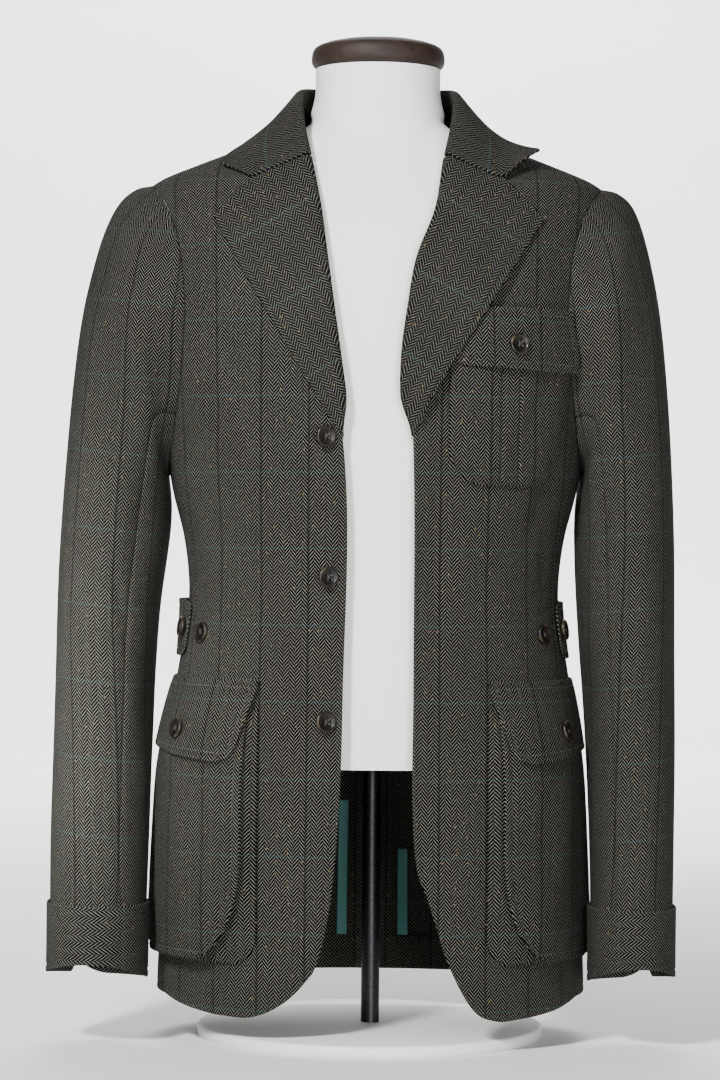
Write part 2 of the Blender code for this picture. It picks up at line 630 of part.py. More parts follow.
def cuff(name, side):
    """Turned-back band round the sleeve's end, open at a slit behind, longer at the back."""
    first = CUFF_SLIT + CUFF_SLIT_WIDTH / 2
    last = CUFF_SLIT - CUFF_SLIT_WIDTH / 2 + RING_COUNT
    place = np.concatenate(((first,), np.arange(math.ceil(first), last), (last,)))
    turn = 2 * math.pi * place / RING_COUNT
    low = CUFF_TOP - CUFF_HEIGHT - CUFF_BACK_DROP * (0.5 - 0.5 * np.sin(turn))
    low += CUFF_ARCH * np.clip(np.sin(turn), 0, 1) ** 1.5 + CUFF_TILT * np.cos(turn)
    low[[0, -1]] += CUFF_CORNER
    share = np.linspace(0, 1, CUFF_ROWS + 1)[:, None]
    height = CUFF_TOP + (low[None, :] - CUFF_TOP) * share
    end = len(SLEEVE_RINGS) - 1
    ring = np.interp(-height, -SLEEVE_RINGS[-2:, 1], (end - 1, end))
    base = sleeve_oval(ring, np.broadcast_to(place, ring.shape))
    base[..., 2] = height
    base = swung(base, side)
    middle = base[:, :-1].mean(axis=1, keepdims=True)
    away = unit((base - middle) * (1, 1, 0))
    ease = SEAM + CUFF_EASE * (CUFF_SNUG + (1 - CUFF_SNUG) * share)
    inner = base + away * ease[..., None]
    wall(name, inner + away * CUFF_THICK, inner, "tweed", side)


def sheet_normals(grid):
    """Normals of an open grid of points."""
    return unit(np.cross(np.gradient(grid, axis=1), np.gradient(grid, axis=0)))


def sheet(name, middle, thick, finish, side):
    """Wall of even thickness on both sides of a grid of middle points."""
    normal = sheet_normals(middle) * thick / 2
    wall(name, middle + normal, middle - normal, finish, side)


def lapel(name, side):
    """A lapel: starts at the front's edge, rolls over and lies back on the front."""
    table = LAPEL_RIGHT if side < 0 else LAPEL_LEFT
    column = 1 if side < 0 else 2
    index = np.arange(len(table))
    row = np.linspace(0, len(table) - 1, LAPEL_ROWS + 1)
    roll_z, roll_x = (smooth(index, table[:, k], row)[:, None] for k in (0, 1))
    edge_x, edge_z = (np.interp(row, index, table[:, k])[:, None] for k in (2, 3))
    seam_x = smooth(FRONT_EDGE[:, 0], FRONT_EDGE[:, column], roll_z) - LAPEL_SEAM
    leaf = np.array(LAPEL_LEAF)[None, :]
    turn = np.array(LAPEL_TURN)
    level = np.ones((len(row), 1))
    x = np.hstack((seam_x, roll_x + turn[:, 0], roll_x + (edge_x - roll_x) * leaf))
    z = np.hstack((roll_z, np.repeat(roll_z, len(turn), axis=1), roll_z + (edge_z - roll_z) * leaf))
    rest = LAPEL_OUT + LAYER / 2
    if side > 0:
        rest = rest + POCKET_LIFT * np.interp(roll_z, POCKET_FADE, (1, 0))
    lift = rest + (turn[-1, 1] - rest) * (1 - leaf) ** 2
    out = np.hstack((-CLOTH / 2 * level, turn[:, 1] * level, lift * level))
    sheet(name, on_body(around_of_x(x, z), z, out)[0], LAYER, "tweed", side)


def clear_of_front(points, lift):
    """The points, moved forward where they would lie behind the fronts' outer face."""
    points = points.copy()
    wide, front, square = (smooth(SECTIONS[:, 0], SECTIONS[:, k], points[:, 2]) for k in (1, 2, 4))
    share = np.clip(np.abs(points[:, 0]) / wide, 0, 1)
    face = -front * (1 - share ** square) ** (1 / square) - lift
    ahead = (share < 1) & (points[:, 1] < 0)
    points[:, 1] = np.where(ahead, np.minimum(points[:, 1], face), points[:, 1])
    return points


def collar(name):
    """Stand, fold and fall of the collar in one sheet, from one front end round to the other."""
    index = np.arange(len(COLLAR))
    row = np.array(COLLAR_STATIONS)
    value = [smooth(index, COLLAR[:, k], row) for k in range(8)]
    start, _ = on_body(value[0], value[1], -CLOTH / 2)
    in_front = value[1] < NECK_HEIGHT - SEAM
    edge_x = np.minimum(FRONT_EDGE[:, 1], FRONT_EDGE[:, 2])
    seam_x = smooth(FRONT_EDGE[:, 0], edge_x, value[1]) - COLLAR_SEAM
    front, _ = on_body(around_of_x(seam_x, value[1]), value[1], -CLOTH / 2)
    rising = unit(bare(value[0], value[1]) - bare(value[0], value[1] - COLLAR_STEP))
    start = np.where(in_front[:, None], front, start + rising * COLLAR_STEP)
    fold = np.stack(value[2:5], axis=-1)
    edge = np.stack(value[5:8], axis=-1)
    apex = unit(fold - (start + edge) / 2)
    over = edge - start
    over = unit(over - (over * apex).sum(axis=-1, keepdims=True) * apex)
    inside = fold - over * COLLAR_FOLD
    outside = fold + over * COLLAR_FOLD
    rows = [start, start * 0.5 + inside * 0.5, inside, fold + apex * COLLAR_FOLD, outside]
    dip = GORGE_SAG * np.clip((row - row[-1]) / GORGE_REACH + 1, 0, 1) ** 2
    for share in COLLAR_LEAF:
        bulge = COLLAR_BULGE * math.sin(math.pi * share)
        notch = min(share / GORGE_NOTCH, (1 - share) / (1 - GORGE_NOTCH))
        place = outside + (edge - outside) * share + over * bulge
        place[:, 2] -= dip * notch
        rows.append(clear_of_front(place, COLLAR_LIFT))
    half = np.stack(rows, axis=0)
    share = np.array((0.0,) * (len(rows) - len(COLLAR_LEAF)) + COLLAR_LEAF)[:, None]
    wing = share ** 1.5 * np.clip((row - WING_START) / (row[-1] - WING_START), 0, 1)[None, :] ** 2
    raised = half + wing[..., None] * COLLAR_WING
    whole = np.concatenate((half[:, :0:-1] * (-1, 1, 1), raised), axis=1)
    sheet(name, whole, CLOTH, "tweed", 1)


def hip_half(height):
    """Half width of the hip patch, with its round lower corners."""
    rise = np.clip(height - HIP_BOTTOM, 0, HIP_CORNER)
    return HIP_HALF - HIP_CORNER + np.sqrt(HIP_CORNER ** 2 - (HIP_CORNER - rise) ** 2)


def pressed(across):
    """Share of the bellows' depth that is left as it goes round under the arm."""
    way = np.clip((across - PRESS_FROM) / PRESS_SPAN, 0, 1)
    return 1 - HIP_PRESSED * way * way * (3 - 2 * way)


def hip_out(across, height):
    """How far the patch stands off the body."""
    down = np.clip((HIP_TOP - height) / (HIP_TOP - HIP_BOTTOM), 0, 1)
    opening = HIP_MOUTH + (1 - HIP_MOUTH) * np.sin(math.pi / 2 * np.clip(down / HIP_FILL, 0, 1))
    taper = 1 - HIP_TAPER * np.clip((down - HIP_TAPER_FROM) / (1 - HIP_TAPER_FROM), 0, 1)
    crown = 1 + HIP_CROWN * (1 - across ** 2)
    return HIP_DEPTH * opening * taper * pressed(across) * crown


def hip_patch(name, side):
    height = np.array(HIP_LEVELS)[:, None]
    across = np.linspace(-1, 1, HIP_COLUMNS + 1)[None, :]
    around = around_of_girth(HIP_MIDDLE + across * hip_half(height), height + 0 * across)
    out = hip_out(across * hip_half(height) / HIP_HALF, height)
    layer(name, around, height + 0 * across, out, out + LAYER, "tweed", side)


def hip_gusset(name, side):
    """Bellows wall round the sides and bottom of a hip patch, pinched along its middle."""
    height = np.array(HIP_LEVELS[:-1])
    low = np.linspace(-1, 1, HIP_COLUMNS + 1)
    girth = np.concatenate((-hip_half(height), low * hip_half(HIP_BOTTOM), hip_half(height)[::-1]))
    drop = np.concatenate((height, 0 * low + HIP_BOTTOM, height[::-1]))
    path = np.stack((girth, drop), axis=-1)
    tangent = unit(np.gradient(path, axis=0))
    outward = np.stack((tangent[:, 1], -tangent[:, 0]), axis=-1)
    outward *= np.sign((outward * (path - (0, HIP_TOP))).sum(axis=-1, keepdims=True))
    reach = hip_out(girth / HIP_HALF, drop)
    rows = ((HIP_SPREAD, GUSSET_REST + 0 * reach),
            (-HIP_FOLD, reach * GUSSET_MIDDLE),
            (-GUSSET_TUCK, reach - GUSSET_REST))
    grids = []
    for inset in (0.0, LAYER):
        stack = []
        for spread, out in rows:
            place = path + outward * (spread - inset)
            around = around_of_girth(HIP_MIDDLE + place[:, 0], place[:, 1])
            stack.append(on_body(around, place[:, 1], out)[0])
        grids.append(np.stack(stack, axis=0))
    wall(name, grids[0], grids[1], "tweed_dark", side)


def flap_point(shape, across, down, girth, extra):
    """Point of a pocket flap: across -1 to 1, down 0 to 1, at a girth from its middle."""
    height = shape["top"] + (shape["bottom"] - shape["top"]) * down
    around = around_of_girth(shape["middle"] + girth, height)
    give = 1 - shape["pressed"] * (1 - pressed(across))
    out = shape["low"] + (shape["high"] - shape["low"]) * down ** FLAP_CURVE * give
    return on_body(around, height, out + extra)[0]


def flap(name, side, shape, columns):
    """Pocket flap, sewn on along its top, with round lower corners."""
    down = np.array(FLAP_ROWS)[:, None]
    across = np.linspace(-1, 1, columns + 1)[None, :]
    down, across = np.broadcast_arrays(down, across)
    rise = np.clip((1 - down) * (shape["top"] - shape["bottom"]), 0, FLAP_CORNER)
    corner = FLAP_CORNER - np.sqrt(FLAP_CORNER ** 2 - (FLAP_CORNER - rise) ** 2)
    half = shape["half_top"] + (shape["half_bottom"] - shape["half_top"]) * down - corner
    girth = across * half + shape["flare"] * down * (across + 1) / 2
    outer = flap_point(shape, across, down, girth, LAYER)
    wall(name, outer, flap_point(shape, across, down, girth, 0.0), "tweed", side)


def flap_button(name, side, shape, down):
    """A button seated square on a flap's middle line."""
    half = shape["half_bottom"]
    spot = [flap_point(shape, np.array([a]), np.array([d]), np.array([a * half]), LAYER + BUTTON_SEAT)[0]
            for a, d in ((0, down), (FLAP_STEP, down), (-FLAP_STEP, down), (0, down + FLAP_STEP))]
    normal = unit(np.cross(spot[3] - spot[0], spot[1] - spot[2]))
    button(name, spot[0], normal * np.sign(normal[0] - normal[1]), side)


def button(name, centre, normal, side):
    """Round horn button with a raised rim and a dished middle."""
    first = unit(np.cross(normal, (0.0, 0.0, 1.0)))
    second = np.cross(normal, first)
    turn = np.linspace(0, 2 * math.pi, BUTTON_SIDES, endpoint=False)
    points = [centre]
    for radius, lift in BUTTON_PROFILE:
        points += [centre + BUTTON_RADIUS * radius * (first * math.cos(a) + second * math.sin(a))
                   + normal * BUTTON_THICK * lift for a in turn]
    points.append(centre + normal * BUTTON_THICK * BUTTON_DISH)
    faces = [[0, 1 + (k + 1) % BUTTON_SIDES, 1 + k] for k in range(BUTTON_SIDES)]
    for ring in range(len(BUTTON_PROFILE) - 1):
        low = 1 + ring * BUTTON_SIDES
        for k in range(BUTTON_SIDES):
            after = (k + 1) % BUTTON_SIDES
            faces.append([low + k, low + after, low + BUTTON_SIDES + after, low + BUTTON_SIDES + k])
    rim = 1 + (len(BUTTON_PROFILE) - 1) * BUTTON_SIDES
    faces += [[rim + k, rim + (k + 1) % BUTTON_SIDES, len(points) - 1] for k in range(BUTTON_SIDES)]
    solid(name, np.array(points) * (side, 1, 1), faces, "horn")


def body_button(name, side, around, height, lift):
    spot, normal = on_body(np.array([around]), np.array([height]), lift)
    button(name, spot[0], normal[0], side)


def chest_patch(name, side):
    """Breast patch with round lower corners and an inverted pleat down its middle."""
    height = np.array(CHEST_LEVELS)[:, None]
    rise = np.clip(height - CHEST_BOTTOM, 0, CHEST_CORNER)
    half = CHEST_HALF - CHEST_CORNER + np.sqrt(CHEST_CORNER ** 2 - (CHEST_CORNER - rise) ** 2)
    edge = CHEST_PLEAT / half
    one = np.ones_like(half)
    across = np.hstack((-one, -(one + edge) / 2, -edge, 0 * one, edge, (one + edge) / 2, one))
    around = around_of_girth(CHEST_MIDDLE + across * half, height + 0 * across)
    high = PATCH_REST + LAYER - PLEAT_DIP * (across == 0)
    layer(name, around, height + 0 * across, PATCH_REST, high, "tweed", side)


def tab_out(side, around, height):
    """How far the strap stands off the side."""
    share = (SIDE_BACK - around) / (SIDE_BACK - TAB_FRONT)
    fall = TAB_FALL * (TAB_HIGH - height) / (TAB_HIGH - TAB_LOW)
    return TAB_REST + TAB_STAND[side] * np.sin(math.pi * share) * (1 - fall)


def waist_tab(name, side):
    """Adjuster strap from the side-back seam over the hollow of the side, with a round free end."""
    around = np.linspace(TAB_FRONT, SIDE_BACK, TAB_COLUMNS + 1)[None, :]
    free = np.clip((around - TAB_FRONT) / TAB_ROUND, 0, 1)
    half = (TAB_HIGH - TAB_LOW) / 2 * (TAB_TIP + (1 - TAB_TIP) * np.sqrt(1 - (1 - free) ** 2))
    height = (TAB_HIGH + TAB_LOW) / 2 + half * np.linspace(-1, 1, TAB_ROWS + 1)[:, None]
    out = tab_out(side, around, height)
    layer(name, np.broadcast_to(around, height.shape), height, out, out + LAYER, "tweed", side)


def inside_strip(name, around, low, high, thick, finish, side):
    """Thin strip on the inner face of a panel."""
    height = np.linspace(low, high, STRIP_ROWS + 1)[:, None]
    around, height = np.broadcast_arrays(np.asarray(around)[None, :], height)
    near = -CLOTH - STRIP_REST
    layer(name, around, height, near - thick, near, finish, side)


def form_torso(name):
    """Smooth torso with rounded shoulder ends and a neck, a little inside the jacket."""
    place = np.linspace(0, 2, FORM_COLUMNS + 1)
    rows = []
    for height in FORM_LEVELS:
        clear = smooth(FORM_CLEAR[:, 0], FORM_CLEAR[:, 1], height)
        seat = smooth(FORM_CLEAR[:, 0], FORM_CLEAR[:, 2], height)
        gap = seat + (clear - seat) * np.clip(np.abs(place - 1) / SEAT_WIDTH, 0, 1)
        half = on_body(place, np.full(len(place), height), -CLOTH - gap)[0]
        rows.append(half)
    rows[0][:, 2] = FORM_BOTTOM
    turn = np.linspace(0, math.pi, FORM_COLUMNS + 1)
    for height, across, front, back in FORM_NECK:
        depth = np.where(np.cos(turn) > 0, front, back)
        rows.append(np.stack((across * np.sin(turn), -depth * np.cos(turn), 0 * turn + height), axis=-1))
    grid = np.stack(rows, axis=0)
    grid[:, [0, -1], 0] = 0.0
    whole = np.concatenate((grid, grid[:, -2:0:-1] * (-1, 1, 1)), axis=1)
    count = whole.shape[1]
    faces = []
    for row in range(len(whole) - 1):
        for k in range(count):
            after = (k + 1) % count
            low = row * count
            faces.append([low + k, low + after, low + count + after, low + count + k])
    faces.append(list(range(count)))
    faces.append(list(range((len(whole) - 1) * count, len(whole) * count)))
    solid(name, whole.reshape(-1, 3), faces, "form_cloth")


def turned(name, profile, sides, finish):
    """Solid of revolution about the upright through the origin; the profile is radius and height."""
    points = []
    for radius, height in profile:
        for k in range(sides):
            turn = 2 * math.pi * k / sides
            points.append((radius * math.cos(turn), radius * math.sin(turn), height))
    faces = [list(range(sides)), list(range(len(points) - sides, len(points)))]
    for ring in range(len(profile) - 1):
        for k in range(sides):
            after = (k + 1) % sides
            low = ring * sides
            faces.append([low + k, low + after, low + sides + after, low + sides + k])
    solid(name, np.array(points), faces, finish)


def build():
    names = {-1: "right", 1: "left"}
    for side, hand in names.items():
        front_panel("front_" + hand, side)
        side_panel("side_" + hand, side)
        back_panel("back_" + hand, side)
        sleeve(("top_sleeve_" + hand, "under_sleeve_" + hand), side)
        cuff("cuff_" + hand, side)
        lapel("lapel_" + hand, side)
        hip_patch("hip_patch_" + hand, side)
        hip_gusset("hip_gusset_" + hand, side)
        flap("hip_flap_" + hand, side, HIP_FLAP, HIP_COLUMNS)
        flap_button("button_hip_" + hand, side, HIP_FLAP, HIP_BUTTON_DOWN)
        waist_tab("waist_tab_" + hand, side)
        waist = (TAB_LOW + TAB_HIGH) / 2
        tab_lift = tab_out(side, TAB_BUTTON, waist) + LAYER + TAB_SEAT
        body_button("button_tab_" + hand, side, TAB_BUTTON, waist, tab_lift)
        body_button("button_waist_" + hand, side, WAIST_BUTTON, waist, WAIST_SEAT)
        binding = BINDINGS[hand]
        inside_strip("vent_binding_" + hand, binding["around"], binding["low"], binding["high"],
                     BINDING_THICK, "binding", side)
        inside_strip("hem_facing_" + hand, FACING_AROUND, SIDE_HEM + SEAM, FACING_TOP,
                     FACING_THICK, "tweed_dark", side)
    collar("collar")
    chest_patch("chest_patch", 1)
    flap("chest_flap", 1, CHEST_FLAP, CHEST_FLAP_COLUMNS)
    flap_button("button_chest", 1, CHEST_FLAP, CHEST_BUTTON_DOWN)
    for number, (x, height) in enumerate(zip(FRONT_BUTTON_X, FRONT_BUTTON_HEIGHTS), start=1):
        around = float(around_of_x(x, height))
        body_button("button_front_%d" % number, -1, around, height, BUTTON_SEAT)
    form_torso("form_torso")
    turned("form_cap", CAP_PROFILE, CAP_SIDES, "wood")
    pole = ((POLE_RADIUS, BASE_THICK + SEAM), (POLE_RADIUS, FORM_BOTTOM - SEAM))
    turned("form_pole", pole, POLE_SIDES, "steel")
    turned("form_base", BASE_PROFILE, BASE_SIDES, "base_paint")


build()
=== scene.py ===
# %% [markdown]
# # A tweed safari jacket on its dress form
# The packed CAD model gives every cut piece of the jacket as a stiff wall with few faces. This
# lesson makes the same pieces again as fine cloth, gives them a woven herringbone, stitches them
# and lights them. The first lines load the frame. Everything made later rides on its one body,
# "root".

# %% Load the frame
import math

import bmesh
import bpy
import numpy as np
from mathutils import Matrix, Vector


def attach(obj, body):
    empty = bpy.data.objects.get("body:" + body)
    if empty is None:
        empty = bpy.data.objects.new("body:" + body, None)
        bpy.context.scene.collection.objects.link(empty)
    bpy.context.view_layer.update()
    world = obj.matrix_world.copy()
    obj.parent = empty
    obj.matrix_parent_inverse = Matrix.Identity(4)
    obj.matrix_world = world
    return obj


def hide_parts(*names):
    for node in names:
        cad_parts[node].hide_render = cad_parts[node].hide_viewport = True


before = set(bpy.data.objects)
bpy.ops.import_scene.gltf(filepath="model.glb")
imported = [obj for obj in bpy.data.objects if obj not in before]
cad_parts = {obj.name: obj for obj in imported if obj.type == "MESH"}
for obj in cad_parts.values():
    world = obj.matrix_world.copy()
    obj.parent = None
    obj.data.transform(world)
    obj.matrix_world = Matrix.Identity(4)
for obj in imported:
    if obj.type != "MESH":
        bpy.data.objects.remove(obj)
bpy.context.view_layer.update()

# %% [markdown]
# ## The figure under the cloth
# A tailor drafts a jacket from a few girths. Here they are level sections of the outer face: a row
# holds a height, half the width, the depth in front and behind, and how square the oval is. It
# could be a subdivided cage, but a formula gives any number of points, and pockets can be laid on
# it by their distance.

# %% Sections of the jacket, in metres
NECK_HEIGHT = 0.786

# height, half width, front depth, back depth, squareness
SECTIONS = np.array((
    (0.020, 0.1860, 0.142, 0.134, 2.25),
    (0.120, 0.1825, 0.139, 0.129, 2.25),
    (0.220, 0.1775, 0.133, 0.121, 2.25),
    (0.300, 0.1715, 0.127, 0.112, 2.25),
    (0.390, 0.1605, 0.120, 0.103, 2.25),
    (0.430, 0.1650, 0.121, 0.106, 2.25),
    (0.470, 0.1750, 0.124, 0.112, 2.25),
    (0.530, 0.1840, 0.128, 0.120, 2.30),
    (0.600, 0.1905, 0.128, 0.125, 2.30),
    (0.660, 0.1960, 0.119, 0.121, 2.30),
    (0.700, 0.1990, 0.106, 0.111, 2.25),
    (0.720, 0.2000, 0.095, 0.103, 2.20),
    (0.732, 0.1980, 0.087, 0.096, 2.15),
    (0.740, 0.1875, 0.082, 0.092, 2.12),
    (0.752, 0.1590, 0.074, 0.086, 2.10),
    (0.768, 0.1180, 0.064, 0.077, 2.05),
    (NECK_HEIGHT, 0.0770, 0.052, 0.067, 2.00),
))
SIDE_INDEX = 60
ANGLES = np.linspace(0.0, math.pi, 2 * SIDE_INDEX + 1)
SIN = np.clip(np.sin(ANGLES), 0.0, 1.0)
COS = np.cos(ANGLES)


def smooth(knots, values, at):
    """Cubic curve through the values at rising knots, held level past both ends."""
    knots = np.asarray(knots, float)
    values = np.asarray(values, float)
    slope = np.gradient(values, knots)
    at = np.clip(np.asarray(at, float), knots[0], knots[-1])
    low = np.clip(np.searchsorted(knots, at, side="right") - 1, 0, len(knots) - 2)
    span = knots[low + 1] - knots[low]
    t = (at - knots[low]) / span
    rise = values[low] * (1 + 2 * t) * (1 - t) ** 2 + values[low + 1] * t * t * (3 - 2 * t)
    return rise + span * t * (1 - t) * (slope[low] * (1 - t) - slope[low + 1] * t)


def curve(table, column, at):
    """A column of a table, read as a cubic over the table's first column."""
    return smooth(table[:, 0], table[:, column], at)


def rings(height):
    """Half sections at the heights: x, y, girth from the front middle and place, a row each."""
    wide, front, back, square = (curve(SECTIONS, k, height)[:, None] for k in (1, 2, 3, 4))
    depth = np.where(COS >= 0, front, back)
    radius = ((SIN / wide) ** square + (np.abs(COS) / depth) ** square) ** (-1 / square)
    x = radius * SIN
    y = -radius * COS
    steps = np.hypot(np.diff(x, axis=1), np.diff(y, axis=1))
    girth = np.concatenate((np.zeros((len(x), 1)), np.cumsum(steps, axis=1)), axis=1)
    side = girth[:, SIDE_INDEX:SIDE_INDEX + 1]
    around = np.where(girth <= side, girth / side, 1 + (girth - side) / (girth[:, -1:] - side))
    return x, y, girth, around


print("sections:", len(SECTIONS), "levels from", SECTIONS[0, 0], "to", SECTIONS[-1, 0])

# %% [markdown]
# ## A place on the cloth
# A place is (around, height): 0 is the front middle, 1 the side and 2 the back middle. Worn cloth
# is never quite even, so soft folds are pressed into the face here, before any piece is cut from
# it. Each fold is a row: the hand (-1 wearer's right, 1 left, 0 both), its middle, half width, half
# length, slant and depth.

# %% Folds and places
BACK_PLACE = 2.0
# hand, around, height, half width around, half length, slant in around per metre, depth
BODY_FOLDS = (
    (1, 0.215, 0.400, 0.060, 0.230, 0.10, 0.0034),
    (-1, 0.225, 0.330, 0.055, 0.200, -0.06, 0.0018),
    (0, 0.640, 0.470, 0.045, 0.090, 0.90, 0.0026),
    (0, 0.560, 0.545, 0.035, 0.075, 1.30, 0.0018),
    (1, 0.700, 0.420, 0.030, 0.060, -0.80, 0.0016),
    (-1, 0.480, 0.395, 0.070, 0.045, 0.00, 0.0012),
    (1, 0.430, 0.385, 0.080, 0.040, 0.60, 0.0012),
    (0, 0.420, 0.085, 0.060, 0.060, 0.40, 0.0015),
    (0, 0.400, 0.690, 0.050, 0.060, 0.80, 0.0012),
    (0, 1.420, 0.500, 0.060, 0.110, -0.70, 0.0030),
    (0, 1.600, 0.400, 0.110, 0.030, 0.00, 0.0022),
    (1, 1.740, 0.360, 0.100, 0.024, 0.80, 0.0018),
    (-1, 1.700, 0.352, 0.110, 0.026, -0.60, 0.0016),
    (0, 1.560, 0.150, 0.050, 0.130, 0.10, 0.0028),
    (0, 1.800, 0.120, 0.045, 0.110, 0.10, 0.0022),
    (-1, 1.380, 0.610, 0.040, 0.080, 0.60, 0.0018),
    (1, 1.360, 0.590, 0.045, 0.090, 0.50, 0.0020),
    (0, 1.060, 0.400, 0.060, 0.030, 0.40, 0.0016),
    (0, 1.000, 0.170, 0.050, 0.110, 0.00, 0.0018),
)
STEP_AROUND = 0.012
STEP_HEIGHT = 0.003


def read_rows(keys, values, at):
    """Linear reading of each row of values at its own rising key."""
    low = np.clip((keys < at[:, None]).sum(axis=1) - 1, 0, keys.shape[1] - 2)
    row = np.arange(len(at))
    t = (at - keys[row, low]) / (keys[row, low + 1] - keys[row, low])
    return values[row, low] * (1 - t) + values[row, low + 1] * t


def bare(around, height):
    """Points of the unfolded face on the wearer's left, as flat arrays."""
    x, y, _, place = rings(height)
    around = np.clip(around, 0.0, BACK_PLACE)
    height = np.clip(height, SECTIONS[0, 0], SECTIONS[-1, 0])
    return np.stack((read_rows(place, x, around), read_rows(place, y, around), height), axis=-1)


def unit(vectors):
    return vectors / np.maximum(np.linalg.norm(vectors, axis=-1, keepdims=True), 1e-12)


def fold_depth(folds, side, across, height):
    """How far the soft folds of a table press the cloth in at each place."""
    depth = 0.0
    for hand, middle, level, wide, long, slant, deep in folds:
        if hand in (0, side):
            away = (across - middle - slant * (height - level)) / wide
            along = np.clip(1 - ((height - level) / long) ** 2, 0, 1)
            depth = depth + deep * np.exp(-away ** 2) * along ** 2
    return depth


def on_body(side, around, height, out=0.0):
    """Points at a distance out from the face, with the normals, for matching arrays of places."""
    places = (np.asarray(values, float) for values in (around, height, out))
    around, height, out = np.broadcast_arrays(*places)
    flat = (around.ravel(), height.ravel())
    across = bare(flat[0] + STEP_AROUND, flat[1]) - bare(flat[0] - STEP_AROUND, flat[1])
    along = bare(flat[0], flat[1] + STEP_HEIGHT) - bare(flat[0], flat[1] - STEP_HEIGHT)
    normal = unit(np.cross(across, along))
    move = out.ravel() - fold_depth(BODY_FOLDS, side, *flat)
    points = bare(*flat) + normal * move[:, None]
    return points.reshape(around.shape + (3,)), normal.reshape(around.shape + (3,))


print("folds:", len(BODY_FOLDS))

# %% [markdown]
# ## Girths and lengths
# Cloth is cut flat, so the weave needs each place as metres across the cloth and metres along it. A
# tape measure gives the first round the body and the second up a line of it. Both are sums of short
# steps here, because an oval's length has no simple formula.

# %% Girths and lengths
FRONT_LINE = 0.45
BACK_LINE = 1.60
LEVELS = np.linspace(SECTIONS[0, 0], NECK_HEIGHT, 200)


def girth_of(around, height):
    """Girth from the front middle to a place."""
    _, _, lengths, _ = rings(np.ravel(height))
    side = lengths[:, SIDE_INDEX].reshape(np.shape(height))
    back = lengths[:, -1].reshape(np.shape(height)) - side
    return np.where(around <= 1, around * side, side + (around - 1) * back)


def around_of_girth(girth, height):
    """Place around that lies this girth from the front middle."""
    girth, height = np.broadcast_arrays(np.asarray(girth, float), np.asarray(height, float))
    _, _, lengths, place = rings(height.ravel())
    return read_rows(lengths, place, girth.ravel()).reshape(girth.shape)


def around_of_x(x, height):
    """Place around the front half that lies this far from the middle."""
    x, height = np.broadcast_arrays(np.asarray(x, float), np.asarray(height, float))
    across, _, _, place = rings(height.ravel())
    half = slice(0, SIDE_INDEX + 1)
    return read_rows(across[:, half], place[:, half], x.ravel()).reshape(x.shape)


def running(steps):
    """Lengths reached after each step, from 0."""
    return np.concatenate(((0.0,), np.cumsum(steps)))


def line_length(line):
    """Length along a line of points, at each of them."""
    return running(np.linalg.norm(np.diff(line, axis=0), axis=1))


def cloth_length(around):
    """Length of cloth up a line of the body at each of LEVELS, counted from the first height."""
    return LEVELS[0] + line_length(bare(np.full(len(LEVELS), around), LEVELS))


FRONT_LENGTH = cloth_length(FRONT_LINE)
BACK_LENGTH = cloth_length(BACK_LINE)
print("cloth from hem to neck:", round(float(FRONT_LENGTH[-1]), 3), "m")

# %% [markdown]
# ## Shader sums written as sums
# A node tree is arithmetic drawn as boxes. One small class wraps a socket, so that `1 - mask` adds
# a Math node, and one method adds any other node: its type, its settings, then its sockets.

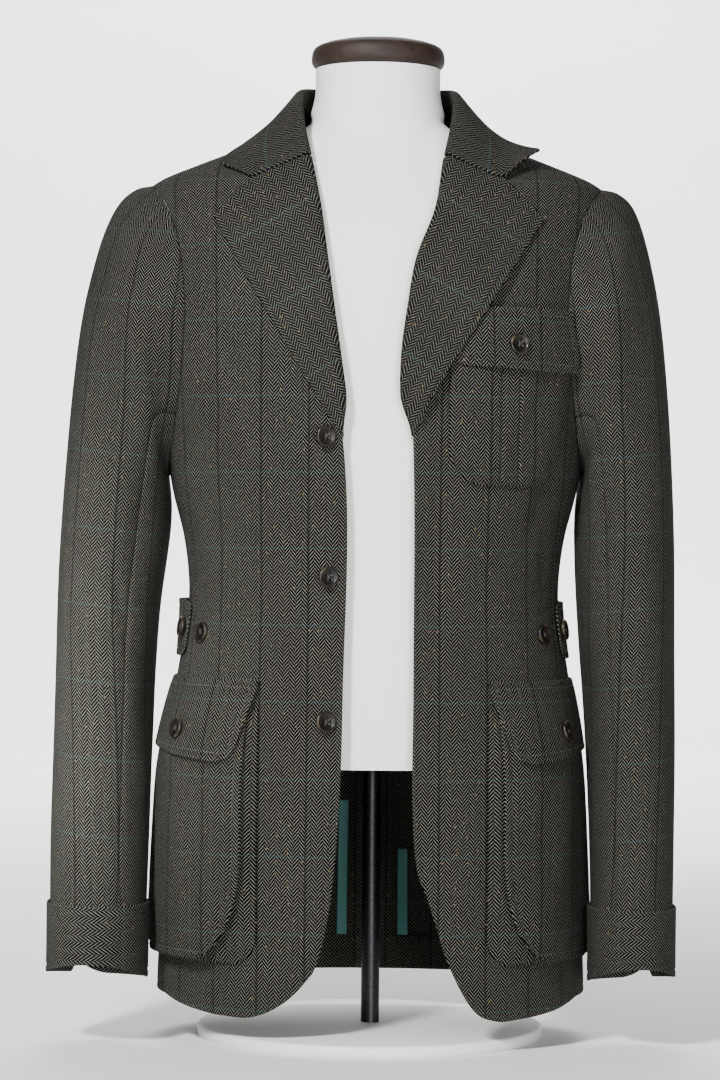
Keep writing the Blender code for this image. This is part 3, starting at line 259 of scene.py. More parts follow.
# %% The socket class
class Wire:
    """An output socket of a material, with arithmetic."""

    def __init__(self, tree, socket=None):
        self.tree = tree
        self.socket = socket

    def node(self, kind, settings, sockets, out=0):
        """Add a node: settings are set first, then sockets are given values or links."""
        box = self.tree.nodes.new(kind)
        for name, value in settings.items():
            if name == "stops":
                ramp = box.color_ramp
                while len(ramp.elements) < len(value):
                    ramp.elements.new(0.5)
                for element, (place, colour) in zip(ramp.elements, value):
                    element.position = place
                    element.color = colour
            else:
                setattr(box, name, value)
        for name, value in sockets.items():
            if isinstance(value, Wire):
                self.tree.links.new(value.socket, box.inputs[name])
            else:
                box.inputs[name].default_value = value
        return Wire(self.tree, box.outputs[out])

    def math(self, operation, first, second=0.0, third=0.0):
        sockets = {0: first, 1: second, 2: third}
        return self.node("ShaderNodeMath", {"operation": operation}, sockets)

    def __add__(self, other):
        return self.math("ADD", self, other)

    def __radd__(self, other):
        return self.math("ADD", other, self)

    def __sub__(self, other):
        return self.math("SUBTRACT", self, other)

    def __rsub__(self, other):
        return self.math("SUBTRACT", other, self)

    def __mul__(self, other):
        return self.math("MULTIPLY", self, other)

    def __rmul__(self, other):
        return self.math("MULTIPLY", other, self)

    def __truediv__(self, other):
        return self.math("DIVIDE", self, other)

    def step(self, low, high):
        """Soft step from 0 at low to 1 at high; low may be the greater."""
        sockets = {"Value": self, "From Min": low, "From Max": high}
        return self.node("ShaderNodeMapRange", {"interpolation_type": "SMOOTHSTEP"}, sockets)

    def tint(self, share, colour):
        """This colour, mixed with another by a share."""
        settings = {"data_type": "RGBA", "clamp_factor": True}
        return self.node("ShaderNodeMix", settings, {0: share, 6: self, 7: colour}, out=2)

    def shade(self, factor):
        """This colour, multiplied by a number."""
        return self.node("ShaderNodeVectorMath", {"operation": "SCALE"}, {0: self, "Scale": factor})

    def ramp(self, *stops):
        """Colours along this number; a stop is a place and a colour."""
        return self.node("ShaderNodeValToRGB", {"stops": stops}, {0: self})

    def paint(self, colour):
        """One colour as a wire."""
        wire = self.node("ShaderNodeRGB", {}, {})
        wire.socket.default_value = colour
        return wire

    def attribute(self, name, out):
        """An attribute of the mesh; output 1 reads it as a vector, 2 as a number."""
        return self.node("ShaderNodeAttribute", {"attribute_name": name}, {}, out)

    def place(self):
        """The place on the object, in metres."""
        return self.node("ShaderNodeTexCoord", {}, {}, out=3)

    def noise(self, place, scale, detail=3.0, rough=0.55):
        sockets = {"Vector": place, "Scale": scale, "Detail": detail, "Roughness": rough}
        return self.node("ShaderNodeTexNoise", {}, sockets)

    def bump(self, height, strength, distance):
        sockets = {"Strength": strength, "Distance": distance, "Height": height}
        return self.node("ShaderNodeBump", {}, sockets)


print("reflected operators:", [name for name in vars(Wire) if name.startswith("__r")])


# %% New materials
def finish(name, **constants):
    """A new Principled material: its start wire, its shader and itself; constants go on sockets."""
    material = bpy.data.materials.new(name)
    material.use_nodes = True
    shader = material.node_tree.nodes["Principled BSDF"]
    for socket, value in constants.items():
        shader.inputs[socket.replace("_", " ")].default_value = value
    return Wire(material.node_tree), shader, material


def feed(shader, **wires):
    """Link wires to the shader's sockets of these names."""
    for socket, wire in wires.items():
        wire.tree.links.new(wire.socket, shader.inputs[socket.replace("_", " ")])


print("sockets are named as in the shader editor, with _ for a space")

# %% [markdown]
# ## Herringbone tweed
# The cloth is a twill whose diagonal turns back every few millimetres, light yarn over dark,
# crossed by thin teal lines and dark stripes. An image would blur or repeat, so it is drawn by
# formula from each piece's own flat cut: every mesh carries the attribute "cut", metres across the
# cloth and along it, as on the cutter's table. Its third number fades the dark stripes out on
# pieces that show none, and between 0 and 1 it also calms the weave, as on the pressed collar and
# lapels.

# %% Yarns and stripes
RIB = 0.0051
TWILL = 0.00325
TWILL_RISE = 1.2
CHECK = 0.0645
CHECK_START = 0.0355
CHECK_HALF = 0.0008
STRIPE = 0.0417
STRIPE_START = 0.0141
STRIPE_HALF = 0.0009
STRIPE_DARK = 0.45
# noise per metre of cloth: wandering yarn, fuzz, uneven twist and broad patches
SWAY_SCALE = 90.0
FUZZ_SCALE = 1500.0
TWIST_SCALE = 420.0
PATCH_SCALE = 22.0
SWAY_ACROSS = 0.0005
SWAY_ALONG = 0.0008
# heights of the twill's wave between which the light yarn comes up
LIGHT_EDGE = (0.32, 0.08)
# how far the third number calms the weave, and the light yarn that then shows
CALM = 1.3
CALM_LIGHT = 0.08
# share of a rib at which its dark spine starts, and is full
SPINE_EDGE = (0.41, 0.50)
SPINE_DARK = 0.40
# channel shares of the light yarn where it is thin and thick, and of the dark where it is thick
LIGHT_THIN = (0.66, 0.62, 0.55)
LIGHT_THICK = (1.30, 1.29, 1.25)
DARK_THICK = (2.2, 2.0, 1.7)
TEAL_YARN = (0.080, 0.168, 0.155, 1.0)
FLECK_YARN = (0.30, 0.190, 0.055, 1.0)
FLECK_CELLS = (1500.0, 900.0, 1.0)
FLECK_EDGE = (0.9984, 0.9987)
FLECK_SHARE = 0.6


def split(vector):
    """The three numbers of a vector."""
    box = vector.node("ShaderNodeSeparateXYZ", {}, {0: vector}).socket.node
    return [Wire(vector.tree, socket) for socket in box.outputs]


def line_mask(start, place, first, period, half):
    """1 on thin lines across the cloth, a period apart."""
    away = start.math("PINGPONG", place - first, period / 2)
    return away.step(half * 1.4, half * 0.6)


def dyed(colour, shares=(1.0, 1.0, 1.0)):
    """The colour times a share of each channel, with full alpha."""
    return tuple(value * share for value, share in zip(colour, shares)) + (1.0,)


print("yarn marks: teal every", CHECK * 1000, "mm, dark stripes every", STRIPE * 1000, "mm")


# %% The weave
def herringbone(name, light, dark):
    start, shader, material = finish(name, Specular_IOR_Level=0.02)
    cut = start.attribute("cut", 1)
    rim = start.attribute("rim", 2)
    across, along, plain = split(cut)
    sway = start.noise(cut, SWAY_SCALE) - 0.5
    fuzz = start.noise(cut, FUZZ_SCALE, 2.0, 0.7)
    twist = start.noise(cut, TWIST_SCALE, 2.0, 0.6)
    patch = start.noise(cut, PATCH_SCALE, 2.0, 0.5)

    rib = (across + sway * SWAY_ACROSS) / RIB
    chevron = start.math("PINGPONG", rib, 1.0)
    phase = (along + sway * SWAY_ALONG) / TWILL + chevron * (RIB * TWILL_RISE / TWILL)
    phase = phase + start.math("FLOOR", rib) * 0.5
    wave = start.math("ABSOLUTE", start.math("FRACT", phase) - 0.5) * 2
    calm = CALM * plain * (1 - plain)
    lit = (wave + (fuzz - 0.5) * 0.35).step(*LIGHT_EDGE) * (1 - calm) + CALM_LIGHT * calm
    pale = twist.ramp((0.28, dyed(light, LIGHT_THIN)), (0.50, dyed(light)),
                      (0.72, dyed(light, LIGHT_THICK)))
    deep = fuzz.ramp((0.30, dyed(dark)), (0.75, dyed(dark, DARK_THICK)))
    spine = start.math("ABSOLUTE", chevron - 0.5).step(*SPINE_EDGE)
    colour = deep.tint(lit * (1 - SPINE_DARK * spine), pale)

    teal = line_mask(start, along, CHECK_START, CHECK, CHECK_HALF)
    colour = colour.tint(teal * (0.03 + 0.52 * lit), TEAL_YARN)
    stripe = line_mask(start, across, STRIPE_START, STRIPE, STRIPE_HALF) * (1 - plain)
    grain = start.node("ShaderNodeVectorMath", {"operation": "MULTIPLY"}, {0: cut, 1: FLECK_CELLS})
    cell = start.node("ShaderNodeVectorMath", {"operation": "FLOOR"}, {0: grain})
    fleck = start.node("ShaderNodeTexWhiteNoise", {"noise_dimensions": "2D"}, {"Vector": cell})
    colour = colour.tint(fleck.step(*FLECK_EDGE) * FLECK_SHARE, FLECK_YARN)
    # free edges paler from wear and a painted highlight; broad patches and fuzz vary the tone at
    # random
    tone_wear_and_edge_highlight = 0.86 + 0.28 * patch + 0.25 * rim + (fuzz - 0.5) * 0.4
    height = lit + fuzz * 0.7 - 0.4 * stripe
    feed(shader, Base_Color=colour.shade(tone_wear_and_edge_highlight * (1 - STRIPE_DARK * stripe)),
         Roughness=0.86 + 0.12 * fuzz, Normal=start.bump(height, 0.5, 0.0006))
    return material


TWEED = herringbone("herringbone_tweed", (0.146, 0.144, 0.131), (0.0018, 0.0017, 0.0016))
print("weave:", round(RIB * 2000, 1), "mm from V to V")

# %% [markdown]
# ## From a grid of points to a piece of cloth
# Each piece is a closed wall between two grids of points, as a cut piece is cloth with a right and
# a wrong side. Solidify could do this, but the two grids let a free edge round off and a seam sink.
# The first columns and rows lie close together, so that the light catches the edge.

# %% Edges
# distances of the first lines of points from an edge
EDGE_NEAR = (0.0005, 0.0016, 0.0048, 0.0062, 0.0076)
NEAR_GAP = 0.0012
NEAR_MOST = 0.35
# kind of edge: share of the thickness that is lost on the first lines of points
EDGE_DIP = {
    "free": (0.42, 0.12),
    "stitched": (0.42, 0.12, 0.0, 0.05, 0.36, 0.05),
    "bead": (0.45, 0.05, -0.35, -0.05, 0.45, 0.10),
    "seam": (0.50, 0.16),
    "soft": (0.22, 0.08),
    "plain": (0.0,),
}
FREE_EDGES = ("free", "stitched", "bead")
# wear and a painted highlight on the first lines of a free edge
RIM = (1.0, 0.7, 0.25)


def spaced(count, length):
    """Shares from 0 to 1, with close steps at both ends of a length in metres."""
    near = np.array((0.0,) + EDGE_NEAR) / length
    near = near[near < NEAR_MOST]
    middle = np.linspace(0, 1, count + 1)
    clear = near[-1] + NEAR_GAP / length
    return np.concatenate((near, middle[(middle > clear) & (middle < 1 - clear)], 1 - near[::-1]))


def edge_shares(count, kinds, outer):
    """Share of the thickness that the edges of rows or columns lose, and their free rim."""
    dip = np.zeros(count)
    rim = np.zeros(count)
    for kind, order in zip(kinds, (slice(None), slice(None, None, -1))):
        is_free = kind in FREE_EDGES
        loss = EDGE_DIP[kind] if outer else EDGE_DIP["free" if is_free else "plain"]
        dip[order][:len(loss)] = loss
        if is_free:
            rim[order][:len(RIM)] = RIM
    return dip, rim


print("kinds of edge:", ", ".join(EDGE_DIP))


# %% Cloth walls
def mesh_object(name, points, faces):
    """A smooth object of closed faces, turned outward."""
    mesh = bpy.data.meshes.new(name)
    mesh.from_pydata(points.tolist(), [], faces)
    tool = bmesh.new()
    tool.from_mesh(mesh)
    if tool.calc_volume(signed=True) < 0:
        bmesh.ops.reverse_faces(tool, faces=tool.faces)
    tool.to_mesh(mesh)
    tool.free()
    mesh.shade_smooth()
    piece = bpy.data.objects.new(name, mesh)
    bpy.context.collection.objects.link(piece)
    return piece


def mark(piece, name, kind, values):
    """Store an attribute on the points of a piece."""
    layer = piece.data.attributes.new(name, kind, "POINT")
    layer.data.foreach_set("vector" if kind == "FLOAT_VECTOR" else "value", np.ravel(values))


def wall(name, outer, inner, cut, side, rows, columns, plain=0.0):
    """Closed cloth between two grids; rows and columns name their first and last edge's kind."""
    count = outer.shape[:2]
    thick = outer - inner
    faces = []
    for grid, sign, is_outer in ((outer, -1, True), (inner, 1, False)):
        down, rim_down = edge_shares(count[0], rows, is_outer)
        over, rim_over = edge_shares(count[1], columns, is_outer)
        dip = 1 - (1 - down[:, None]) * (1 - over[None, :])
        faces.append(grid + sign * thick * dip[..., None])
    rim = np.maximum(rim_down[:, None], rim_over[None, :])
    points = np.concatenate([face.reshape(-1, 3) for face in faces]) * (side, 1, 1)
    index = np.arange(count[0] * count[1]).reshape(count)
    half = index.size
    quads = np.stack((index[:-1, :-1], index[:-1, 1:], index[1:, 1:], index[1:, :-1]), axis=-1)
    quads = quads.reshape(-1, 4)
    loop = np.concatenate((index[0, :-1], index[:-1, -1], index[-1, :0:-1], index[:0:-1, 0]))
    after = np.roll(loop, -1)
    band = np.stack((after, loop, loop + half, after + half), axis=-1)
    piece = mesh_object(name, points, np.concatenate((quads, quads[:, ::-1] + half, band)).tolist())
    flat = np.concatenate((cut, 0 * cut[..., :1] + plain), axis=-1).reshape(-1, 3)
    mark(piece, "cut", "FLOAT_VECTOR", np.concatenate((flat, flat)))
    mark(piece, "rim", "FLOAT", np.concatenate((rim.ravel(), rim.ravel())))
    return piece


print("a wall carries the attributes cut and rim")


def dress(piece, node, material):
    """Let a piece ride on the body in the place of a node."""
    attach(piece, "root")
    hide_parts(node)
    piece.data.materials.append(material)


def sew(piece, outer, material=TWEED):
    """Put a cloth piece in its node's place."""
    dress(piece, piece.name.replace("cloth_", ""), material)
    a = outer[1:, 1:] - outer[:-1, :-1]
    b = outer[1:, :-1] - outer[:-1, 1:]


def cut_plan(across, along):
    """Flat coordinates of a grid: metres across the cloth and along it."""
    return np.stack(np.broadcast_arrays(across, along), axis=-1)


# %% [markdown]
# ## Fronts, side bodies and backs
# Six panels make the body. A front runs from its free edge to the side seam, and its hem drops in a
# curve to the cutaway corner. All of them are read off the same face, so they meet along their
# seams without fitting.

# %% Seam lines of the body
TIP_HEIGHT = 0.736
SIDE_FRONT = 0.80
SIDE_BACK = 1.22
SIDE_HEM = 0.0405
ARMPIT = 0.515
ARMPIT_DROP = 0.030
# height, front branch, back branch of the armhole
ARMHOLE = np.array((
    (ARMPIT, SIDE_FRONT, SIDE_BACK),
    (0.545, 0.740, 1.280),
    (0.590, 0.690, 1.325),
    (0.645, 0.675, 1.330),
    (0.690, 0.720, 1.285),
    (0.712, 0.775, 1.230),
    (0.725, 0.840, 1.165),
    (0.733, 0.920, 1.080),
    (TIP_HEIGHT, 1.000, 1.000),
))
# height, front edge from the middle on the wearer's right, on the left
FRONT_EDGE = np.array((
    (0.130, 0.0340, 0.0420),
    (0.170, 0.0300, 0.0355),
    (0.210, 0.0275, 0.0335),
    (0.300, 0.0255, 0.0335),
    (0.510, 0.0270, 0.0315),
    (0.570, 0.0355, 0.0285),
    (0.620, 0.0425, 0.0335),
    (0.660, 0.0485, 0.0410),
    (0.710, 0.0555, 0.0575),
    (0.753, 0.0640, 0.0640),
    (NECK_HEIGHT, 0.0715, 0.0715),
))
# girth from the front middle, hem height on the wearer's right, on the left
FRONT_HEM = np.array((
    (0.035, 0.128, 0.150),
    (0.040, 0.100, 0.131),
    (0.046, 0.076, 0.112),
    (0.056, 0.060, 0.082),
    (0.068, 0.047, 0.056),
    (0.082, 0.037, 0.036),
    (0.100, 0.030, 0.028),
    (0.125, 0.0295, 0.0285),
    (0.160, 0.033, 0.032),
    (0.205, 0.0405, 0.0405),
))
print("front hem:", len(FRONT_HEM), "points, armhole from", ARMPIT, "to", TIP_HEIGHT, "m")

# %% Rows and cuts of the panels
# column of each hand in the tables above
HAND_COLUMN = {-1: 1, 1: 2}
PANEL_HEIGHT = NECK_HEIGHT - SIDE_HEM
PANEL_ROWS = 150
# first height, last height and number of the rows added at the shoulder tip
TIP_ROWS = (0.722, 0.7365, 16)


def panel_levels():
    """Heights of a panel's rows, closer together where the armhole turns in to the shoulder tip."""
    even = SIDE_HEM + PANEL_HEIGHT * spaced(PANEL_ROWS, PANEL_HEIGHT)
    return np.union1d(even, np.linspace(*TIP_ROWS))[:, None]


def front_place(side, share, level):
    """Around and height of a front, by its share across and by its level at the side seam."""
    column = HAND_COLUMN[side]
    girth = FRONT_HEM[0, 0] + share * (FRONT_HEM[-1, 0] - FRONT_HEM[0, 0])
    hem = curve(FRONT_HEM, column, girth)
    height = level + (hem - SIDE_HEM) * (NECK_HEIGHT - level) / PANEL_HEIGHT
    edge = around_of_x(curve(FRONT_EDGE, column, height), height)
    return edge + (curve(ARMHOLE, 1, height) - edge) * share, height


def front_cut(around, height):
    """Flat coordinates from the front middle; what lies on a front takes them too."""
    return cut_plan(girth_of(around, height), np.interp(height, LEVELS, FRONT_LENGTH))


def back_cut(around, height):
    """Flat coordinates from the back middle."""
    middle = girth_of(np.full_like(height, BACK_PLACE), height)
    return cut_plan(middle - girth_of(around, height), np.interp(height, LEVELS, BACK_LENGTH))


def armpit(share):
    """Height of the armhole's lowest stretch, from its front end to its back end."""
    return ARMPIT - ARMPIT_DROP * (1 - (2 * share - 1) ** 2)


print("rows of a front:", panel_levels().size)

# %% Body panels
CLOTH = 0.0020
HANDS = {-1: "right", 1: "left"}
FRONT_COLUMNS = 48
SIDE_COLUMNS = 22
SIDE_ROWS = 100
BACK_COLUMNS = 44
PANEL_WIDTH = 0.20


def lay(name, side, around, height, low, high, cut, rows, columns,
        material=TWEED):
    """A cloth piece between two distances off the body; returns its outer points."""
    outer, inner = (on_body(side, around, height, out)[0] for out in (high, low))
    piece = wall(name, outer, inner, cut, side, rows, columns)
    sew(piece, outer, material)
    return outer


def panel(name, side, around, height, cut, rows, columns):
    lay(name, side, around, height, -CLOTH, 0.0, cut, rows, columns)


def front_panel(hand, side):
    share = spaced(FRONT_COLUMNS, PANEL_WIDTH)[None, :]
    around, height = front_place(side, share, panel_levels())
    panel("cloth_front_" + hand, side, around, height, front_cut(around, height),
          ("stitched", "plain"), ("stitched", "soft"))


def side_panel(hand, side):
    share = spaced(SIDE_COLUMNS, PANEL_WIDTH / 2)[None, :]
    top = armpit(share)
    height = SIDE_HEM + (top - SIDE_HEM) * spaced(SIDE_ROWS, top.max())[:, None]
    around = np.broadcast_to(SIDE_FRONT + (SIDE_BACK - SIDE_FRONT) * share, height.shape)
    across = girth_of(around, height) - girth_of(np.ones_like(height), height)
    cut = cut_plan(across, np.interp(height, LEVELS, FRONT_LENGTH))
    panel("cloth_side_" + hand, side, around, height, cut, ("stitched", "soft"), ("soft", "seam"))


def back_panel(hand, side):
    share = spaced(BACK_COLUMNS, PANEL_WIDTH)[None, :]
    height = panel_levels()
    around = BACK_PLACE + (curve(ARMHOLE, 2, height) - BACK_PLACE) * share
    height = np.broadcast_to(height, around.shape)
    panel("cloth_back_" + hand, side, around, height, back_cut(around, height),
          ("stitched", "plain"), ("seam", "seam"))


for side, hand in HANDS.items():
    front_panel(hand, side)
    side_panel(hand, side)
    back_panel(hand, side)

# %% [markdown]
# ## Sleeves
# A two-piece sleeve is a tube that starts as the armhole and ends as a small oval. Rings of a table
# give its line, and the armhole's own shape fades out over the first rings, which makes the sleeve
# head. Long soft troughs are pressed in where an empty sleeve hangs slack, some slanting, of uneven
# length and depth.

# %% Rings and troughs of a sleeve
# outer x, outer z, inner x, inner z, front reach, back reach, middle y
SLEEVE_RINGS = np.array((
    (0.1960, 0.736, 0.1790, 0.486, 0.080, 0.088, 0.004),
    (0.2110, 0.732, 0.1800, 0.481, 0.083, 0.090, 0.004),
    (0.2245, 0.717, 0.1785, 0.473, 0.085, 0.090, 0.003),
    (0.2360, 0.682, 0.1755, 0.461, 0.083, 0.087, 0.002),
    (0.2465, 0.628, 0.1742, 0.445, 0.080, 0.083, 0.000),
    (0.2535, 0.560, 0.1742, 0.422, 0.077, 0.079, -0.003),
    (0.2580, 0.482, 0.1752, 0.388, 0.074, 0.075, -0.008),
    (0.2602, 0.402, 0.1778, 0.342, 0.071, 0.071, -0.015),
    (0.2606, 0.322, 0.1812, 0.289, 0.067, 0.066, -0.024),
    (0.2598, 0.240, 0.1846, 0.226, 0.063, 0.061, -0.036),
    (0.2580, 0.160, 0.1866, 0.156, 0.059, 0.057, -0.052),
    (0.2556, 0.078, 0.1872, 0.078, 0.057, 0.055, -0.070),
))
ARM_LEVELS = (0.515, 0.534, 0.560, 0.592, 0.628, 0.662, 0.692, 0.715, 0.730, TIP_HEIGHT)
# height, outward swing of the wearer's right sleeve at its outer side, at its inner side
SWING = np.array((
    (0.06, 0.0178, 0.0032),
    (0.17, 0.0166, 0.0024),
    (0.25, 0.0142, 0.0048),
    (0.38, 0.0130, 0.0080),
    (0.44, 0.0116, 0.0026),
    (0.49, 0.0106, 0.0000),
    (0.65, 0.0080, 0.0000),
    (0.71, 0.0050, 0.0000),
    (0.735, 0.0000, 0.0000),
))
# hand, place round, upper ring, lower ring, half width in places, slant in places per ring, depth
SLEEVE_FOLDS = (
    (0, 4.6, 1.8, 6.0, 1.3, 0.00, 0.0040),
    (0, 8.0, 3.2, 7.6, 1.2, 0.00, 0.0035),
    (0, 20.4, 2.2, 6.5, 1.4, 0.00, 0.0040),
    (0, 1.6, 6.6, 9.0, 1.3, 0.00, 0.0025),
    (0, 10.5, 7.0, 9.2, 1.4, 0.00, 0.0030),
    (-1, 2.7, 1.2, 4.4, 0.5, 0.25, 0.0018),
    (1, 3.1, 1.4, 5.2, 0.5, 0.20, 0.0018),
    (-1, 6.2, 2.6, 6.2, 0.6, -0.20, 0.0016),
    (1, 6.0, 5.2, 8.6, 0.6, 0.50, 0.0014),
    (-1, 4.0, 6.4, 8.0, 0.5, 1.30, 0.0013),
    (0, 7.4, 6.0, 7.8, 0.4, 1.60, 0.0016),
    (0, 6.6, 8.4, 10.2, 0.6, -0.70, 0.0012),
    (0, 22.5, 5.6, 7.4, 0.6, -1.20, 0.0018),
    (0, 19.2, 6.6, 8.4, 0.6, 1.10, 0.0018),
    (1, 18.0, 8.4, 10.0, 0.7, -0.80, 0.0013),
)


print("sleeve:", len(SLEEVE_RINGS), "rings,", len(SLEEVE_FOLDS), "troughs")

# %% [markdown]
# ## Points of a sleeve
# Places are counted round the tube from the shoulder tip: down the front of the armhole, along the
# armpit and up the back. The wearer's right sleeve hangs a little further out than the left, which
# is a swing that grows towards the cuff. A curve modifier could bend a tube, but it could not join
# the armhole's edge point by point.

# %% Sleeve shape
FRONT_PLACES = len(ARM_LEVELS) - 1
UNDER_PLACES = 6
RING_COUNT = 2 * FRONT_PLACES + UNDER_PLACES
SLEEVE_HALF = 0.060
SLEEVE_SPAN = (0.175, 0.260)


def armhole_edge(place):
    """Around and height of the armhole's edge, counted round from the shoulder tip."""
    place = np.asarray(place, float) % RING_COUNT
    number = np.arange(FRONT_PLACES + 1)
    share = np.clip((place - FRONT_PLACES) / UNDER_PLACES, 0, 1)
    stretch = [place <= FRONT_PLACES, place >= FRONT_PLACES + UNDER_PLACES]
    front = smooth(number, ARM_LEVELS[::-1], place)
    back = smooth(number, ARM_LEVELS, place - FRONT_PLACES - UNDER_PLACES)
    height = np.select(stretch, [front, back], armpit(share))
    sides = [curve(ARMHOLE, k, height) for k in (1, 2)]
    return np.select(stretch, sides, SIDE_FRONT + (SIDE_BACK - SIDE_FRONT) * share), height


def sleeve_troughs(side, ring, place):
    """How far the troughs press the sleeve in; a slanting one moves round as it goes down."""
    depth = np.zeros_like(ring)
    for hand, at, top, bottom, wide, slant, deep in SLEEVE_FOLDS:
        if hand in (0, side):
            middle = at + slant * (ring - (top + bottom) / 2)
            away = (place - middle + RING_COUNT / 2) % RING_COUNT - RING_COUNT / 2
            along = np.clip((ring - top) / (bottom - top), 0, 1)
            depth += deep * np.exp(-(away / wide) ** 2) * np.sin(math.pi * along) ** 2
    return depth


def sleeve_oval(side, ring, place):
    """Point of the sleeve: ring is a row of the table, place counts round from the top."""
    ring, place = np.broadcast_arrays(np.asarray(ring, float), np.asarray(place, float))
    index = np.arange(len(SLEEVE_RINGS))
    ox, oz, ix, iz, front, back, middle = (
        smooth(index, SLEEVE_RINGS[:, k], ring) for k in range(7))
    turn = 2 * math.pi * place / RING_COUNT
    reach = np.where(np.sin(turn) >= 0, front, back)
    size = 1 - sleeve_troughs(side, ring, place) / SLEEVE_HALF
    x = (ox + ix) / 2 + (ox - ix) / 2 * np.cos(turn) * size
    z = (oz + iz) / 2 + (oz - iz) / 2 * np.cos(turn) * size
    return np.stack((x, middle - reach * np.sin(turn) * size, z), axis=-1)


def swung(points, side, share=1.0):
    """The points of a sleeve, swung out on the wearer's right."""
    moved = points.copy()
    if side < 0:
        near, far = SLEEVE_SPAN
        way = np.clip((points[..., 0] - near) / (far - near), 0, 1)
        outer, inner = (curve(SWING, k, points[..., 2]) for k in (1, 2))
        moved[..., 0] += (inner + (outer - inner) * way) * share
    return moved


print("places round a sleeve:", RING_COUNT)

# %% Sew the sleeves
LAST_RING = len(SLEEVE_RINGS) - 1
ARMHOLE_BLEND = 4.0
FRONT_ARM_SEAM = 8
HIND_ARM_SEAM = 17
PLACE_STEPS = 6
SLEEVE_ROWS = 130
SLEEVE_LENGTH = 0.66
GRAIN_TILT = 0.10
# height, then the oval round which the cloth is measured: middle x and y, half widths along x and y
SLEEVE_OVALS = np.array((
    (0.078, 0.2214, -0.070, 0.035, 0.056),
    (0.300, 0.2208, -0.027, 0.040, 0.066),
    (0.450, 0.2160, -0.008, 0.044, 0.075),
    (0.550, 0.1960, 0.000, 0.058, 0.083),
    (0.640, 0.1900, 0.002, 0.055, 0.088),
    (0.700, 0.1890, 0.003, 0.043, 0.078),
    (0.736, 0.1880, 0.004, 0.022, 0.045),
))


def sleeve_points(side, ring, place):
    """Outer points of a whole sleeve, joined to the armhole at ring 0."""
    edge, _ = on_body(side, *armhole_edge(place[0]))
    blend = np.clip(1 - ring / ARMHOLE_BLEND, 0, 1)[..., None] ** 2
    start = edge - sleeve_oval(side, np.zeros(len(place[0])), place[0])
    return swung(sleeve_oval(side, ring, place), side, 1 - blend[..., 0]) + blend * start


def oval_way(turn, wide, deep):
    """Distance round an oval from its outer end."""
    return (wide + deep) / 2 * turn + (deep - wide) / 4 * np.sin(2 * turn)


def sleeve_cut(points, side, is_under):
    """Flat cut of a sleeve: level distance from its outer line, and length along it."""
    height = points[..., 2]
    x0, y0, wide, deep = (curve(SLEEVE_OVALS, k, height) for k in range(1, 5))
    if side < 0:
        x0 = x0 + smooth(SWING[:, 0], SWING[:, 1:].mean(axis=1), height)
    x = points[..., 0] - x0
    turn = np.arctan2((y0 - points[..., 1]) / deep, x / wide)
    if is_under:
        turn = turn % (2 * math.pi)
    line = SLEEVE_RINGS[::-1, :2]
    extra = np.interp(height, line[:, 1], line_length(line) - line[:, 1])
    return cut_plan(oval_way(turn, wide, deep), height - GRAIN_TILT * x + extra)


def sleeve(hand, side):
    ring = LAST_RING * spaced(SLEEVE_ROWS, SLEEVE_LENGTH)[:, None]
    place = np.arange(RING_COUNT * PLACE_STEPS)[None, :] / PLACE_STEPS
    ring, place = np.broadcast_arrays(ring, place)
    outer = sleeve_points(side, ring, place)
    over = np.roll(outer, -1, axis=1) - np.roll(outer, 1, axis=1)
    normal = unit(np.cross(over, np.gradient(outer, axis=0)))
    away = outer - outer.mean(axis=1, keepdims=True)
    normal *= np.sign((normal * away).sum(axis=-1).mean())
    inner = outer - normal * CLOTH
    spans = {"top_sleeve_": (HIND_ARM_SEAM - RING_COUNT, FRONT_ARM_SEAM),
             "under_sleeve_": (FRONT_ARM_SEAM, HIND_ARM_SEAM)}
    for word, (first, last) in spans.items():
        columns = np.arange(first * PLACE_STEPS, last * PLACE_STEPS + 1)
        pick = columns % outer.shape[1]
        cut = sleeve_cut(outer[:, pick], side, first > 0)
        piece = wall("cloth_" + word + hand, outer[:, pick], inner[:, pick], cut, side,
                     ("soft", "free"), ("seam", "seam"))
        sew(piece, outer[:, pick])


for side, hand in HANDS.items():
    sleeve(hand, side)

# %% [markdown]
# ## Cuffs
# A cuff is a separate band, turned back over the sleeve's end and open at a slit behind. It hangs
# lower at the back, so the front shows a little of its inside. Its cloth is cut the other way of
# the grain, so the teal line stands upright on it.

# %% Cuffs
CUFF_HEIGHT = 0.056
CUFF_TOP = 0.120
CUFF_BACK_DROP = 0.012
CUFF_ARCH = 0.0085
CUFF_TILT = 0.0018
CUFF_SLIT = 20.0
CUFF_SLIT_WIDTH = 0.10
# rise of the two corners at the slit and the way over which they round off
CUFF_CORNERS = ((0.0100, 0.007), (0.0105, 0.030))
CUFF_EASE = 0.0012
CUFF_SNUG = 0.6
CUFF_THICK = 0.0022
CUFF_TEAL = {-1: 8.4, 1: 7.6}
CUFF_GIRTH = 0.290
CUFF_COLUMNS = 150
CUFF_ROWS = 22


